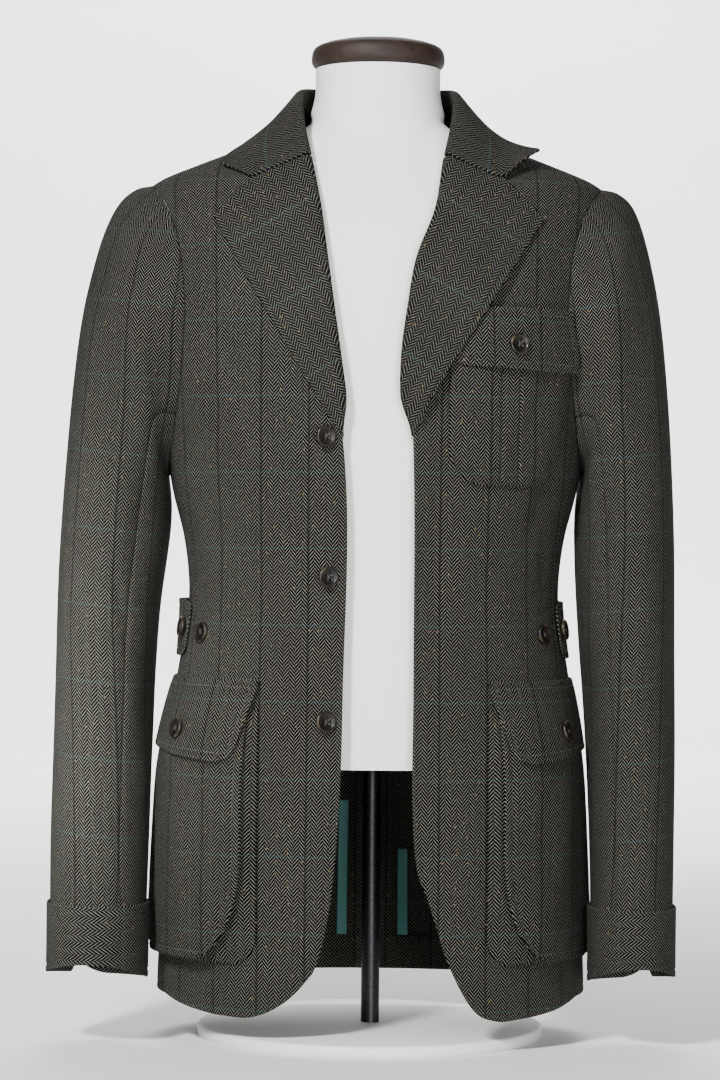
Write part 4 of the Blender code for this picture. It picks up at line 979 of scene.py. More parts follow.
def cuff(hand, side):
    way = spaced(CUFF_COLUMNS, CUFF_GIRTH)[None, :]
    place = CUFF_SLIT + CUFF_SLIT_WIDTH / 2 + way * (RING_COUNT - CUFF_SLIT_WIDTH)
    turn = 2 * math.pi * place / RING_COUNT
    low = CUFF_TOP - CUFF_HEIGHT - CUFF_BACK_DROP * (0.5 - 0.5 * np.sin(turn))
    low += CUFF_ARCH * np.clip(np.sin(turn), 0, 1) ** 1.5 + CUFF_TILT * np.cos(turn)
    for (rise, reach), away in zip(CUFF_CORNERS, (way, 1 - way)):
        low += rise * (1 - np.clip(away * CUFF_GIRTH / reach, 0, 1)) ** 2
    share = spaced(CUFF_ROWS, CUFF_HEIGHT)[:, None]
    height = CUFF_TOP + (low - CUFF_TOP) * share
    ring = np.interp(-height, -SLEEVE_RINGS[-2:, 1], (LAST_RING - 1, LAST_RING))
    base = sleeve_oval(side, ring, np.broadcast_to(place, ring.shape))
    base[..., 2] = height
    base = swung(base, side)
    away = unit((base - base.mean(axis=1, keepdims=True)) * (1, 1, 0))
    inner = base + away * (CUFF_EASE * (CUFF_SNUG + (1 - CUFF_SNUG) * share))[..., None]
    outer = inner + away * CUFF_THICK
    oval = SLEEVE_OVALS[0, 3:]
    teal = 2 * math.pi * (CUFF_TEAL[side] / RING_COUNT + 1)
    cut = cut_plan(height, oval_way(turn, *oval) - oval_way(teal, *oval) + CHECK_START)
    piece = wall("cloth_cuff_" + hand, outer, inner, cut, side,
                 ("free", "stitched"), ("free", "free"), plain=1.0)
    sew(piece, outer)


for side, hand in HANDS.items():
    cuff(hand, side)

# %% [markdown]
# ## Lapels
# A lapel is the front's edge turned back over a soft roll. Nine lines run down it, from the seam
# round the roll to the outer edge, and a cubic through them gives the fine columns. A bend modifier
# would need a flat start, and these lines already lie on the front that the lapel rests on.

# %% Lines of a lapel
# roll line height and x, outer edge x and height
LAPELS = {
    -1: np.array((
        (0.5160, 0.0240, 0.0300, 0.5120),
        (0.5450, 0.0282, 0.0440, 0.5420),
        (0.5850, 0.0340, 0.0655, 0.5770),
        (0.6250, 0.0398, 0.0890, 0.6170),
        (0.6650, 0.0455, 0.1130, 0.6570),
        (0.7070, 0.0515, 0.1366, 0.7010),
        (0.7508, 0.0600, 0.1055, 0.7345),
    )),
    1: np.array((
        (0.5160, 0.0280, 0.0340, 0.5110),
        (0.5450, 0.0250, 0.0430, 0.5440),
        (0.5850, 0.0255, 0.0640, 0.5805),
        (0.6250, 0.0305, 0.0880, 0.6190),
        (0.6650, 0.0375, 0.1130, 0.6590),
        (0.7070, 0.0530, 0.1398, 0.7010),
        (0.7508, 0.0600, 0.1075, 0.7340),
    )),
}
LAPEL_POINT = 5
LAPEL_TAPER = 1.3
LAPEL_OUT = 0.0022
LAPEL_THICK = 0.0024
LAPEL_WIDTH = 0.075
LAPEL_LENGTH = 0.26
LAPEL_ROWS = 90
ROLL_COLUMNS = 26
LEAF_COLUMNS = 34
# share of the thickness at the lower end, where the lapel runs out
LAPEL_THIN = 0.35
# third number of the cut, for fewer stripes and a calmer weave
TURNED_PLAIN = 0.7
# a line of points inside the far edge, where the sheet's normal is read
INNER_LINE = -8
POCKET_LIFT = 0.0062
POCKET_FADE = (0.645, 0.690)
LAPEL_SEAM = 0.0010
LAPEL_LEAF = (0.14, 0.38, 0.68, 1.00)
# shift from the roll line, distance off the front
LAPEL_TURN = np.array((
    (-0.0006, -0.0007),
    (-0.0032, 0.0010),
    (-0.0036, 0.0040),
    (-0.0008, 0.0066),
))


def ease(share):
    """Soft rise from 0 to 1."""
    share = np.clip(share, 0, 1)
    return share * share * (3 - 2 * share)


def through(knots, grid, at, axis):
    """A grid of points read along one axis by the cubic through its lines."""
    weights = np.stack([smooth(knots, line, at) for line in np.eye(len(knots))], axis=-1)
    return np.moveaxis(np.tensordot(weights, grid, axes=(1, axis)), 0, axis)


def sheet_normals(grid):
    """Normals of a grid of points, all to the same side of it."""
    return unit(np.cross(np.gradient(grid, axis=1), np.gradient(grid, axis=0)))


print("lines of a lapel:", 1 + len(LAPEL_TURN) + len(LAPEL_LEAF))


# %% Lapels
def lapel(hand, side):
    table = LAPELS[side]
    index = np.arange(len(table))
    row = np.sort(np.append(spaced(LAPEL_ROWS, LAPEL_LENGTH) * index[-1], LAPEL_POINT))
    roll_z, roll_x = (smooth(index, table[:, k], row)[:, None] for k in (0, 1))
    edge_x, edge_z = (np.interp(row, index, table[:, k])[:, None] for k in (2, 3))
    seam_x = curve(FRONT_EDGE, HAND_COLUMN[side], roll_z) - LAPEL_SEAM
    full = ease(row / LAPEL_TAPER)[:, None]
    roll_x = seam_x + (roll_x - seam_x) * full
    edge_x = seam_x + (edge_x - seam_x) * ease(row / LAPEL_TAPER * 2)[:, None]
    leaf = np.array(LAPEL_LEAF)[None, :]
    turns = len(LAPEL_TURN)
    x = np.hstack((seam_x, roll_x + LAPEL_TURN[:, 0] * full, roll_x + (edge_x - roll_x) * leaf))
    z = np.hstack((np.repeat(roll_z, turns + 1, axis=1), roll_z + (edge_z - roll_z) * leaf))
    rest = LAPEL_OUT + LAPEL_THICK / 2
    if side > 0:
        rest = rest + POCKET_LIFT * np.interp(roll_z, POCKET_FADE, (1, 0))
    lift = rest + (LAPEL_TURN[-1, 1] - rest) * (1 - leaf) ** 2
    out = np.hstack((np.full_like(roll_z, -CLOTH / 2), LAPEL_TURN[:, 1] * full,
                     lift * full + CLOTH / 2 * (1 - full)))

    lines = np.stack((x, z, out), axis=-1)
    first = turns + 1
    far = first + (leaf.size - 1) * spaced(LEAF_COLUMNS, LAPEL_WIDTH)
    columns = np.concatenate((np.linspace(0, first, ROLL_COLUMNS)[:-1], far[len(EDGE_NEAR):]))
    fine = through(np.arange(lines.shape[1]), lines, columns, 1)
    around = around_of_x(fine[..., 0], fine[..., 1])
    middle, _ = on_body(side, around, fine[..., 1], fine[..., 2])
    thick = LAPEL_THICK * (LAPEL_THIN + (1 - LAPEL_THIN) * full)
    normal = sheet_normals(middle) * (thick / 2)[..., None]
    normal *= -np.sign(normal[len(row) // 2, INNER_LINE, 1])
    low, high = table[0, 2:], table[LAPEL_POINT, 2:]
    grain = unit(high - low)
    flat = fine[..., :2] - high
    cut = cut_plan(flat @ (grain[1], -grain[0]), flat @ grain)
    piece = wall("cloth_lapel_" + hand, middle + normal, middle - normal, cut, side,
                 ("free", "plain"), ("plain", "stitched"), TURNED_PLAIN)
    sew(piece, middle)


for side, hand in HANDS.items():
    lapel(hand, side)

# %% [markdown]
# ## Collar
# The collar is one strip: a stand that rises from the neck seam, a fold along its top and a fall
# over it. Rows of the table are stations from the back middle to the front end, and the other half
# is their mirror image.

# %% Stations of the collar
# seam around and height, fold x y z, edge x y z
COLLAR = np.array((
    (2.00, NECK_HEIGHT, 0.0000, 0.0700, 0.8240, 0.0000, 0.0815, 0.7755),
    (1.75, NECK_HEIGHT, 0.0275, 0.0630, 0.8235, 0.0435, 0.0775, 0.7750),
    (1.45, NECK_HEIGHT, 0.0515, 0.0400, 0.8215, 0.0845, 0.0585, 0.7735),
    (1.15, NECK_HEIGHT, 0.0655, 0.0080, 0.8175, 0.1065, 0.0235, 0.7765),
    (0.98, NECK_HEIGHT, 0.0682, -0.0150, 0.8100, 0.1120, -0.0080, 0.7730),
    (0.80, NECK_HEIGHT, 0.0680, -0.0330, 0.7985, 0.1235, -0.0290, 0.7640),
    (0.74, 0.7740, 0.0655, -0.0530, 0.7790, 0.1325, -0.0450, 0.7555),
    (0.70, 0.7545, 0.0605, -0.0745, 0.7560, 0.1335, -0.0570, 0.7500),
))
GORGE_SAG = 0.0140
GORGE_NOTCH = 0.62
GORGE_REACH = 1.5
GORGE_FROM = 5.2
GORGE_LAP = 0.0008
# shares of the fall, and how far its end comes forward to lie level with the lapel
GORGE_AHEAD = ((0.0, 0.3, 0.62, 1.0), (0.0010, 0.0042, 0.0024, 0.0))
COLLAR_FOLD = 0.0035
COLLAR_SEAM = 0.0022
COLLAR_STEP = 0.0028
COLLAR_LEAF = (0.22, 0.42, 0.62, 0.81, 1.00)
COLLAR_BULGE = -0.001
COLLAR_LIFT = 0.0050
COLLAR_WING = np.array((0.0050, -0.0010, 0.0130))
COLLAR_HALF = 0.22
COLLAR_FALL = 0.065
COLLAR_COLUMNS = 80
STAND_ROWS = 21
FALL_ROWS = 24
SEAM_SLACK = 0.0003
# lines of the fall, and stations towards the front, over which the wing comes in
WING_DOWN = (6.4, 9.0)
WING_AHEAD = (4.0, 7.0)


print("stations of the collar:", len(COLLAR))


# %% Collar
def clear_of_front(points):
    """The points, moved forward where they would lie behind the fronts' outer face."""
    wide, front, square = (curve(SECTIONS, k, points[:, 2]) for k in (1, 2, 4))
    share = np.clip(np.abs(points[:, 0]) / wide, 0, 1)
    face = -front * (1 - share ** square) ** (1 / square) - COLLAR_LIFT
    moved = points.copy()
    ahead = (share < 1) & (points[:, 1] < 0)
    moved[:, 1] = np.where(ahead, np.minimum(points[:, 1], face), points[:, 1])
    return moved


def span(at, ends):
    """Share of the way from one end to the other."""
    return (at - ends[0]) / (ends[1] - ends[0])


def collar():
    index = np.arange(len(COLLAR))
    row = spaced(COLLAR_COLUMNS, COLLAR_HALF)[len(EDGE_NEAR):] * index[-1]
    row[0] = 0.0
    around, height, *places = (smooth(index, values, row) for values in COLLAR.T)
    fold, edge = np.stack(places[:3], axis=-1), np.stack(places[3:], axis=-1)
    start, _ = on_body(1, around, height, -CLOTH / 2)
    seam_x = smooth(FRONT_EDGE[:, 0], FRONT_EDGE[:, 1:].min(axis=1), height) - COLLAR_SEAM
    front, _ = on_body(1, around_of_x(seam_x, height), height, -CLOTH / 2)
    rising = unit(bare(around, height) - bare(around, height - COLLAR_STEP))
    in_front = (height < NECK_HEIGHT - SEAM_SLACK)[:, None]
    start = np.where(in_front, front, start + rising * COLLAR_STEP)

    apex = unit(fold - (start + edge) / 2)
    over = edge - start
    over = unit(over - (over * apex).sum(axis=-1, keepdims=True) * apex)
    inside, outside = fold - over * COLLAR_FOLD, fold + over * COLLAR_FOLD
    lines = [start, (start + inside) / 2, inside, fold + apex * COLLAR_FOLD, outside]
    turn = len(lines) - 1
    dip = GORGE_SAG * np.clip((row - index[-1]) / GORGE_REACH + 1, 0, 1) ** 2
    at_end = ease(span(row, (GORGE_FROM, index[-1])))
    for share in COLLAR_LEAF:
        spot = outside + (edge - outside) * share + over * COLLAR_BULGE * math.sin(math.pi * share)
        spot[:, 2] -= dip * min(share / GORGE_NOTCH, (1 - share) / (1 - GORGE_NOTCH))
        spot = clear_of_front(spot)
        spot[:, 1] -= at_end * np.interp(share, *GORGE_AHEAD)
        spot[:, 2] -= at_end * GORGE_LAP * min(1.0, (1 - share) / (1 - GORGE_NOTCH))
        lines.append(spot)

    fall = turn + len(COLLAR_LEAF) * spaced(FALL_ROWS, COLLAR_FALL)[len(EDGE_NEAR):]
    at = np.concatenate((np.linspace(0, turn, STAND_ROWS), fall[1:]))
    half = through(np.arange(len(lines)), np.stack(lines, axis=0), at, 0)
    wing = ease(span(at, WING_DOWN))[:, None] * ease(span(row, WING_AHEAD))[None, :]
    raised = half + wing[..., None] * COLLAR_WING
    middle = np.concatenate((half[:, :0:-1] * (-1, 1, 1), raised), axis=1)
    normal = sheet_normals(middle) * CLOTH / 2
    normal *= np.sign(normal[INNER_LINE, len(row), 1])
    long = running(np.linalg.norm(np.diff(middle, axis=1), axis=-1).mean(axis=0))
    drop = np.linalg.norm(np.diff(middle, axis=0), axis=-1).mean(axis=1)
    cut = cut_plan((long - long[-1] / 2)[None, :], running(drop[::-1])[::-1, None])
    piece = wall("cloth_collar", middle + normal, middle - normal, cut, 1,
                 ("plain", "stitched"), ("plain", "plain"), TURNED_PLAIN)
    sew(piece, middle)


collar()

# %% [markdown]
# ## Pockets
# The hip pockets are bellows pockets: a patch, and a folded wall round it that lets it stand off.
# The breast pocket is flat with an inverted pleat. All lie at stated distances off the front, so
# they follow its curve, and their cut takes the front's own coordinates, because a tailor matches
# the check across a pocket.

# %% Shape of the hip pockets
HIP_HALF = 0.074
HIP_TOP = 0.286
HIP_BOTTOM = 0.0765
HIP_CORNER = 0.045
HIP_CORNER_HIGH = 0.090
HIP_DEPTH = 0.016
HIP_CROWN = 0.18
HIP_PRESSED = {-1: 0.42, 1: 0.64}
PRESS_FROM = -0.75
PRESS_SPAN = 1.25
HIP_MOUTH = 0.25
HIP_FILL = 0.35
HIP_TAPER = 0.15
HIP_TAPER_FROM = 0.70
GUSSET_HALF = 0.0825
GUSSET_BOTTOM = 0.0730
GUSSET_CORNER = 0.026


def arc(share):
    """Quarter round from 0 to 1, steep at first."""
    return np.sqrt(1 - (1 - np.clip(share, 0, 1)) ** 2)


def hip_half(height):
    """Half width of the hip patch, with its long round lower corners."""
    return HIP_HALF - HIP_CORNER * (1 - arc((height - HIP_BOTTOM) / HIP_CORNER_HIGH))


def gusset_half(height):
    """Half width at the gusset's seam on the front, with tighter corners."""
    return GUSSET_HALF - GUSSET_CORNER * (1 - arc((height - GUSSET_BOTTOM) / GUSSET_CORNER))


def pressed(side, across):
    """Share of the bellows' depth that is left as it goes round under the arm."""
    return 1 - HIP_PRESSED[side] * ease((across - PRESS_FROM) / PRESS_SPAN)


def hip_out(side, across, height):
    """How far the patch stands off the body."""
    down = np.clip(span(height, (HIP_TOP, HIP_BOTTOM)), 0, 1)
    filled = np.sin(math.pi / 2 * np.clip(down / HIP_FILL, 0, 1))
    opening = HIP_MOUTH + (1 - HIP_MOUTH) * filled
    taper = 1 - HIP_TAPER * np.clip(span(down, (HIP_TAPER_FROM, 1)), 0, 1)
    crown = 1 + HIP_CROWN * (1 - across ** 2)
    return HIP_DEPTH * opening * taper * pressed(side, across) * crown


print("hip pocket:", 2 * HIP_HALF, "m wide,", HIP_DEPTH, "m deep")

# %% Hip pockets
LAYER = 0.0016
HIP_MIDDLE = 0.180
SMALL_ROWS = 46
SMALL_COLUMNS = 38
GUSSET_REST = 0.0009
GUSSET_TUCK = 0.0020
GUSSET_SEAM = 0.0021
GUSSET_ROWS = 25
GUSSET_FALL = 60
GUSSET_FOOT = 25
# hand, girth across the patch as a share, height, half width share, half length, slant, depth
HIP_FOLDS = (
    (0, -0.45, 0.185, 0.16, 0.070, 1.5, 0.0022),
    (0, 0.20, 0.150, 0.20, 0.060, -2.0, 0.0020),
    (-1, 0.00, 0.215, 0.30, 0.030, 5.0, 0.0016),
    (1, -0.15, 0.120, 0.22, 0.040, 3.0, 0.0016),
)
# way from the seam on the front to the patch's edge, share of the patch's distance off the front
GUSSET_LINES = ((0.00, 0.00), (0.25, 0.10), (0.55, 0.20), (0.88, 0.34))
# the fold under the patch: distance in from its edge, share of its distance off the front
HIP_FOLD = 0.004
HIP_FOLD_OUT = 0.60


def hip_patch(hand, side):
    tall = HIP_TOP - HIP_BOTTOM
    across = 2 * spaced(SMALL_COLUMNS, 2 * HIP_HALF)[None, :] - 1
    height = HIP_BOTTOM + tall * spaced(SMALL_ROWS, tall)[:, None]
    girth = across * hip_half(height)
    height = np.broadcast_to(height, girth.shape)
    out = hip_out(side, girth / HIP_HALF, height) - fold_depth(HIP_FOLDS, side, across, height)
    around = around_of_girth(HIP_MIDDLE + girth, height)
    return lay("cloth_hip_patch_" + hand, side, around, height, out, out + LAYER,
               front_cut(around, height), ("bead", "stitched"), ("bead", "bead"))


def hip_gusset(hand, side):
    """The bellows wall: a band from the front up to the patch's edge, then a fold under it."""
    fall = np.sin(np.linspace(0, math.pi / 2, GUSSET_FALL))[:-1]
    low = np.linspace(-1, 1, GUSSET_FOOT)

    def outline(half, bottom):
        height = HIP_TOP + (bottom - HIP_TOP) * fall
        girth = np.concatenate((-half(height), low * half(bottom), half(height)[::-1]))
        return np.stack((girth, np.concatenate((height, 0 * low + bottom, height[::-1]))), axis=-1)

    patch, seam = outline(hip_half, HIP_BOTTOM), outline(gusset_half, GUSSET_BOTTOM)
    tangent = unit(np.gradient(patch, axis=0))
    inward = np.stack((-tangent[:, 1], tangent[:, 0]), axis=-1)
    inward *= -np.sign((inward * (patch - (0, HIP_TOP))).sum(axis=-1, keepdims=True))
    reach = hip_out(side, patch[:, 0] / HIP_HALF, patch[:, 1])
    lines = [(seam + (patch - seam) * way, GUSSET_SEAM + reach * share)
             for way, share in GUSSET_LINES]
    lines.append((patch + inward * HIP_FOLD, reach * HIP_FOLD_OUT))
    lines.append((patch + inward * GUSSET_TUCK, reach - GUSSET_REST))
    at = np.linspace(0, len(lines) - 1, GUSSET_ROWS)
    flat = np.stack([np.column_stack((spot, out)) for spot, out in lines], axis=0)
    girth, height, out = np.moveaxis(through(np.arange(len(lines)), flat, at, 0), -1, 0)
    around = around_of_girth(HIP_MIDDLE + girth, height)
    outer, _ = on_body(side, around, height, out)
    normal = sheet_normals(outer)
    # at this point near the front edge the inner face has to lie behind the outer one
    inner = outer + normal * np.sign(normal[2, 20, 1]) * LAYER
    piece = wall("cloth_hip_gusset_" + hand, outer, inner, front_cut(around, height), side,
                 ("plain", "plain"), ("plain", "plain"))
    sew(piece, outer)


HIP_EDGES = {}
for side, hand in HANDS.items():
    HIP_EDGES[side] = hip_patch(hand, side)
    hip_gusset(hand, side)

# %% Flaps and the breast patch
FLAP_CORNER = 0.014
FLAP_CURVE = 0.8
FLAP_ROWS = 18
TUCK_SPAN = 0.7
# middle is a girth; low and high are the distances off the front at the top and the lower edge;
# pressed and tuck are shares of that lift which are lost towards the arm and at the front corner
HIP_FLAP = {"middle": HIP_MIDDLE, "half_top": 0.084, "half_bottom": 0.066,
            "top": 0.311, "bottom": 0.246, "low": 0.0008, "high": 0.0202,
            "pressed": 1.0, "flare": 0.0, "tilt": 0.005, "tuck": 0.0}
CHEST_MIDDLE = 0.1150
CHEST_FLAP = {"middle": CHEST_MIDDLE + 0.003, "half_top": 0.054, "half_bottom": 0.056,
              "top": 0.625, "bottom": 0.573, "low": 0.0044, "high": 0.0088,
              "pressed": 0.0, "flare": 0.012, "tilt": -0.002, "tuck": 0.9}
CHEST_HALF = 0.0530
CHEST_TOP = 0.618
CHEST_BOTTOM = 0.476
CHEST_CORNER = 0.030
CHEST_ROWS = 34
CHEST_COLUMNS = 30
PATCH_REST = 0.0022
PLEAT_HALF = 0.0085
PLEAT_DIP = 0.0017
PLEAT_LINE = 0.0010
# shares of the half width: where the even columns end, between the folds, and about each fold
PLEAT_CLEAR = 0.24
PLEAT_MIDDLE = 0.05
PLEAT_FINE = np.linspace(-0.06, 0.06, 13)


def flap_place(side, shape, across, down, girth):
    """Around, height and distance off the front of a place on a flap."""
    drop = shape["bottom"] - shape["top"] + shape["tilt"] * across
    height = shape["top"] + drop * down
    give = 1 - shape["pressed"] * (1 - pressed(side, across))
    give = give - shape["tuck"] * (1 - ease((across + 1) / TUCK_SPAN))
    out = shape["low"] + (shape["high"] - shape["low"]) * down ** FLAP_CURVE * give
    return around_of_girth(shape["middle"] + girth, height), height, out


def flap(name, side, shape):
    drop = shape["top"] - shape["bottom"]
    down = spaced(FLAP_ROWS, drop)[:, None]
    across = 2 * spaced(SMALL_COLUMNS, 2 * shape["half_top"])[None, :] - 1
    down, across = np.broadcast_arrays(down, across)
    corner = FLAP_CORNER * (1 - arc((1 - down) * drop / FLAP_CORNER))
    half = shape["half_top"] + (shape["half_bottom"] - shape["half_top"]) * down - corner
    girth = across * half + shape["flare"] * down * (across + 1) / 2
    around, height, out = flap_place(side, shape, across, down, girth)
    return lay(name, side, around, height, out, out + LAYER, front_cut(around, height),
               ("stitched", "stitched"), ("stitched", "stitched"))


def chest_patch():
    """The flat breast pocket, with close columns at the two folds of its pleat."""
    tall = CHEST_TOP - CHEST_BOTTOM
    height = CHEST_BOTTOM + tall * spaced(CHEST_ROWS, tall)[:, None]
    half = CHEST_HALF - CHEST_CORNER * (1 - arc((height - CHEST_BOTTOM) / CHEST_CORNER))
    even = 2 * spaced(CHEST_COLUMNS, 2 * CHEST_HALF) - 1
    fold = PLEAT_HALF / CHEST_HALF + PLEAT_FINE
    across = np.concatenate((even[even < -PLEAT_CLEAR], -fold[::-1], (-PLEAT_MIDDLE, PLEAT_MIDDLE),
                             fold, even[even > PLEAT_CLEAR]))
    girth = across[None, :] * half
    height = np.broadcast_to(height, girth.shape)
    around = around_of_girth(CHEST_MIDDLE + girth, height)
    crease = PLEAT_DIP * np.exp(-((np.abs(girth) - PLEAT_HALF) / PLEAT_LINE) ** 2)
    return lay("cloth_chest_patch", 1, around, height, PATCH_REST, PATCH_REST + LAYER - crease,
               front_cut(around, height), ("seam", "plain"), ("seam", "seam"))


FLAP_EDGES = {side: flap("cloth_hip_flap_" + hand, side, HIP_FLAP)
              for side, hand in HANDS.items()}
CHEST_EDGE = chest_patch()
CHEST_FLAP_EDGE = flap("cloth_chest_flap", 1, CHEST_FLAP)

# %% [markdown]
# ## Waist straps and the inside of the back
# Two straps draw in the waist at the sides. Inside, below the form, the open front shows the back's
# turned-up hem and the satin that binds the raw edges of its vent.

# %% Straps, bindings and hem facings
TAB_LOW = 0.328
TAB_HIGH = 0.377
TAB_FRONT = 0.815
TAB_STAND = {-1: 0.0060, 1: 0.0014}
TAB_FALL = 0.85
TAB_REST = 0.0014
TAB_ROUND = 0.06
TAB_TIP = 0.72
TAB_LENGTH = 0.09
TAB_ROWS = 14
TAB_COLUMNS = 34
# first and last place around, lowest and highest edge, columns, width
BINDINGS = {
    "right": (1.880, 1.916, 0.0715, 0.194, 6, 0.012),
    "left": (1.866, 1.902, 0.0715, 0.150, 6, 0.012),
}
FACING = (1.235, 1.990, SIDE_HEM + 0.0003, 0.0705, 40, 0.14)
STRIP_ROWS = 24
STRIP_THICK = 0.0010
STRIP_REST = 0.0009


def satin(name, colour):
    """Fine shining threads across the strip, a little uneven."""
    start, shader, material = finish(name, Sheen_Weight=0.2)
    cut = start.attribute("cut", 1)
    _, along, _ = split(cut)
    thread = start.math("SINE", along * 9000.0) * 0.5 + 0.5
    slub = start.noise(cut, 300.0)
    feed(shader, Base_Color=start.paint(colour).shade(0.65 + 0.5 * slub + 0.25 * thread),
         Roughness=0.38 + 0.2 * slub, Normal=start.bump(thread + slub, 0.25, 0.0003))
    return material


SATIN = satin("teal_satin", (0.016, 0.130, 0.115, 1.0))


def tab_out(side, around, height):
    """How far a strap bows off the body, most at its middle and upper edge."""
    share = span(around, (SIDE_BACK, TAB_FRONT))
    fall = TAB_FALL * span(height, (TAB_HIGH, TAB_LOW))
    return TAB_REST + TAB_STAND[side] * np.sin(math.pi * share) * (1 - fall)


def waist_tab(hand, side):
    tall = TAB_HIGH - TAB_LOW
    around = TAB_FRONT + (SIDE_BACK - TAB_FRONT) * spaced(TAB_COLUMNS, TAB_LENGTH)[None, :]
    half = tall / 2 * (TAB_TIP + (1 - TAB_TIP) * arc((around - TAB_FRONT) / TAB_ROUND))
    height = (TAB_HIGH + TAB_LOW) / 2 + half * (2 * spaced(TAB_ROWS, tall)[:, None] - 1)
    around = np.broadcast_to(around, height.shape)
    out = tab_out(side, around, height)
    return lay("cloth_waist_tab_" + hand, side, around, height, out, out + LAYER,
               front_cut(around, height), ("stitched", "stitched"), ("stitched", "plain"))


def inside_strip(name, hand, side, sizes, material):
    """A thin strip on the inner face of a back."""
    first, last, low, high, columns, width = sizes
    around = first + (last - first) * spaced(columns, width)[None, :]
    height = low + (high - low) * spaced(STRIP_ROWS, high - low)[:, None]
    around, height = np.broadcast_arrays(around, height)
    near = -CLOTH - STRIP_REST
    lay(name + hand, side, around, height, near, near - STRIP_THICK, back_cut(around, height),
        ("free", "free"), ("free", "free"), material)


TAB_EDGES = {side: waist_tab(hand, side) for side, hand in HANDS.items()}
for side, hand in HANDS.items():
    inside_strip("cloth_vent_binding_", hand, side, BINDINGS[hand], SATIN)
    inside_strip("cloth_hem_facing_", hand, side, FACING, TWEED)

# %% [markdown]
# ## Buttons
# Horn buttons are turned on a lathe: a low rim, a dished face and four drilled holes. The lathe is
# a loop over rings here, and points near a hole are pushed in. The flap's or front's own slope
# seats each button, and those of the open front hang tilted on their thread.

# %% Horn
def horn():
    """Dark horn with paler swirls, wear and a painted highlight at the rim, painted shade in the
    holes.
    """
    start, shader, material = finish("dark_horn", Specular_IOR_Level=0.3)
    hole = start.attribute("hole", 2)
    rim = start.attribute("rim", 2)
    swirl = start.noise(start.place(), 160.0, 4.0, 0.6)
    # the rim is paler: partly wear, partly a painted highlight
    base = (swirl + 0.14 * rim).ramp((0.38, (0.003, 0.003, 0.003, 1.0)),
                                     (0.62, (0.009, 0.007, 0.005, 1.0)),
                                     (0.86, (0.060, 0.040, 0.020, 1.0)))
    # the holes are darkened to near black: painted shade in the drilled recesses
    feed(shader, Base_Color=base.shade(1 - 0.93 * hole), Roughness=0.20 + 0.25 * swirl,
         Normal=start.bump(swirl, 0.12, 0.0005))
    return material


HORN = horn()
print("finish:", HORN.name)

# %% A turned button
BUTTON_RADIUS = 0.0090
BUTTON_THICK = 0.0036
BUTTON_SIDES = 56
BUTTON_FACE = 0.66
# share of the radius, share of the thickness
BUTTON_PROFILE = np.array(
    [(0.80, 0.00), (0.94, 0.16), (1.00, 0.46), (0.985, 0.74), (0.93, 0.93), (0.86, 1.00),
     (0.78, 0.97), (0.71, 0.83), (0.66, 0.72), (0.56, 0.67)]
    + [(share, BUTTON_FACE) for share in (0.46, 0.38, 0.32, 0.26, 0.20, 0.13, 0.06)])
# shares of the radius over which the paler rim, from wear and a painted highlight, comes in
BUTTON_RIM = (0.7, 0.9)
# shares of the radius: the circle of the holes, and a hole; its soft edge reaches half as far again
HOLE_RING = 0.25
HOLE_RADIUS = 0.105
HOLE_EDGE = 1.5
HOLE_DEPTH = 0.0011
# share of the thickness above which the holes are drilled
HOLE_LEVEL = 0.60
BUTTON_SPOTS = []


def ring_object(name, grid):
    """A closed object of stacked rings of points, capped at both ends."""
    index = np.arange(grid.shape[0] * grid.shape[1]).reshape(grid.shape[:2])
    after = np.roll(index, -1, axis=1)
    quads = np.stack((index[:-1], after[:-1], after[1:], index[1:]), axis=-1).reshape(-1, 4)
    caps = [index[0, ::-1].tolist(), index[-1].tolist()]
    return mesh_object(name, grid.reshape(-1, 3), quads.tolist() + caps)


def button(node, centre, normal, side):
    """A turned button at a spot, on the wearer's left before it is mirrored."""
    first = unit(np.cross(normal, (0.0, 0.0, 1.0)))
    second = np.cross(normal, first)
    turn = np.linspace(0, 2 * math.pi, BUTTON_SIDES, endpoint=False)[None, :]
    radius, level = BUTTON_PROFILE[:, :1], BUTTON_PROFILE[:, 1:]
    across, up = radius * np.cos(turn), radius * np.sin(turn)
    hole = np.zeros_like(across)
    for angle in (np.arange(4) + 0.5) * math.pi / 2:
        away = np.hypot(across - HOLE_RING * math.cos(angle), up - HOLE_RING * math.sin(angle))
        inside = np.clip(HOLE_EDGE - away / HOLE_RADIUS, 0, 1)
        hole = np.maximum(hole, inside * (level > HOLE_LEVEL))
    flat = BUTTON_RADIUS * (across[..., None] * first + up[..., None] * second)
    lift = level * BUTTON_THICK - hole * HOLE_DEPTH
    points = centre + flat + lift[..., None] * normal
    piece = ring_object(node + "_horn", points * (side, 1, 1))
    rim = np.clip(span(radius, BUTTON_RIM), 0, 1)
    mark(piece, "hole", "FLOAT", hole)
    mark(piece, "rim", "FLOAT", np.repeat(rim, BUTTON_SIDES))
    dress(piece, node, HORN)
    BUTTON_SPOTS.append((side, centre + normal * BUTTON_THICK * BUTTON_FACE, first, second, normal))


print("button:", len(BUTTON_PROFILE), "rings of", BUTTON_SIDES, "points")

# %% Buttons
# distance from the middle, height
FRONT_BUTTONS = ((0.0415, 0.516), (0.0385, 0.398), (0.0395, 0.277))
FRONT_TILT = math.radians(32)
FRONT_LIFT = 0.0046
HIP_BUTTON_DOWN = 0.67
HIP_BUTTON_ASIDE = -0.12
CHEST_BUTTON_DOWN = 0.60
FLAP_STEP = 0.1
BUTTON_SEAT = 0.0006
TAB_BUTTON = 0.855
TAB_SEAT = 0.0008
WAIST_BUTTON = {-1: 0.708, 1: 0.695}
WAIST_DROP = 0.003
WAIST_SEAT = 0.0001


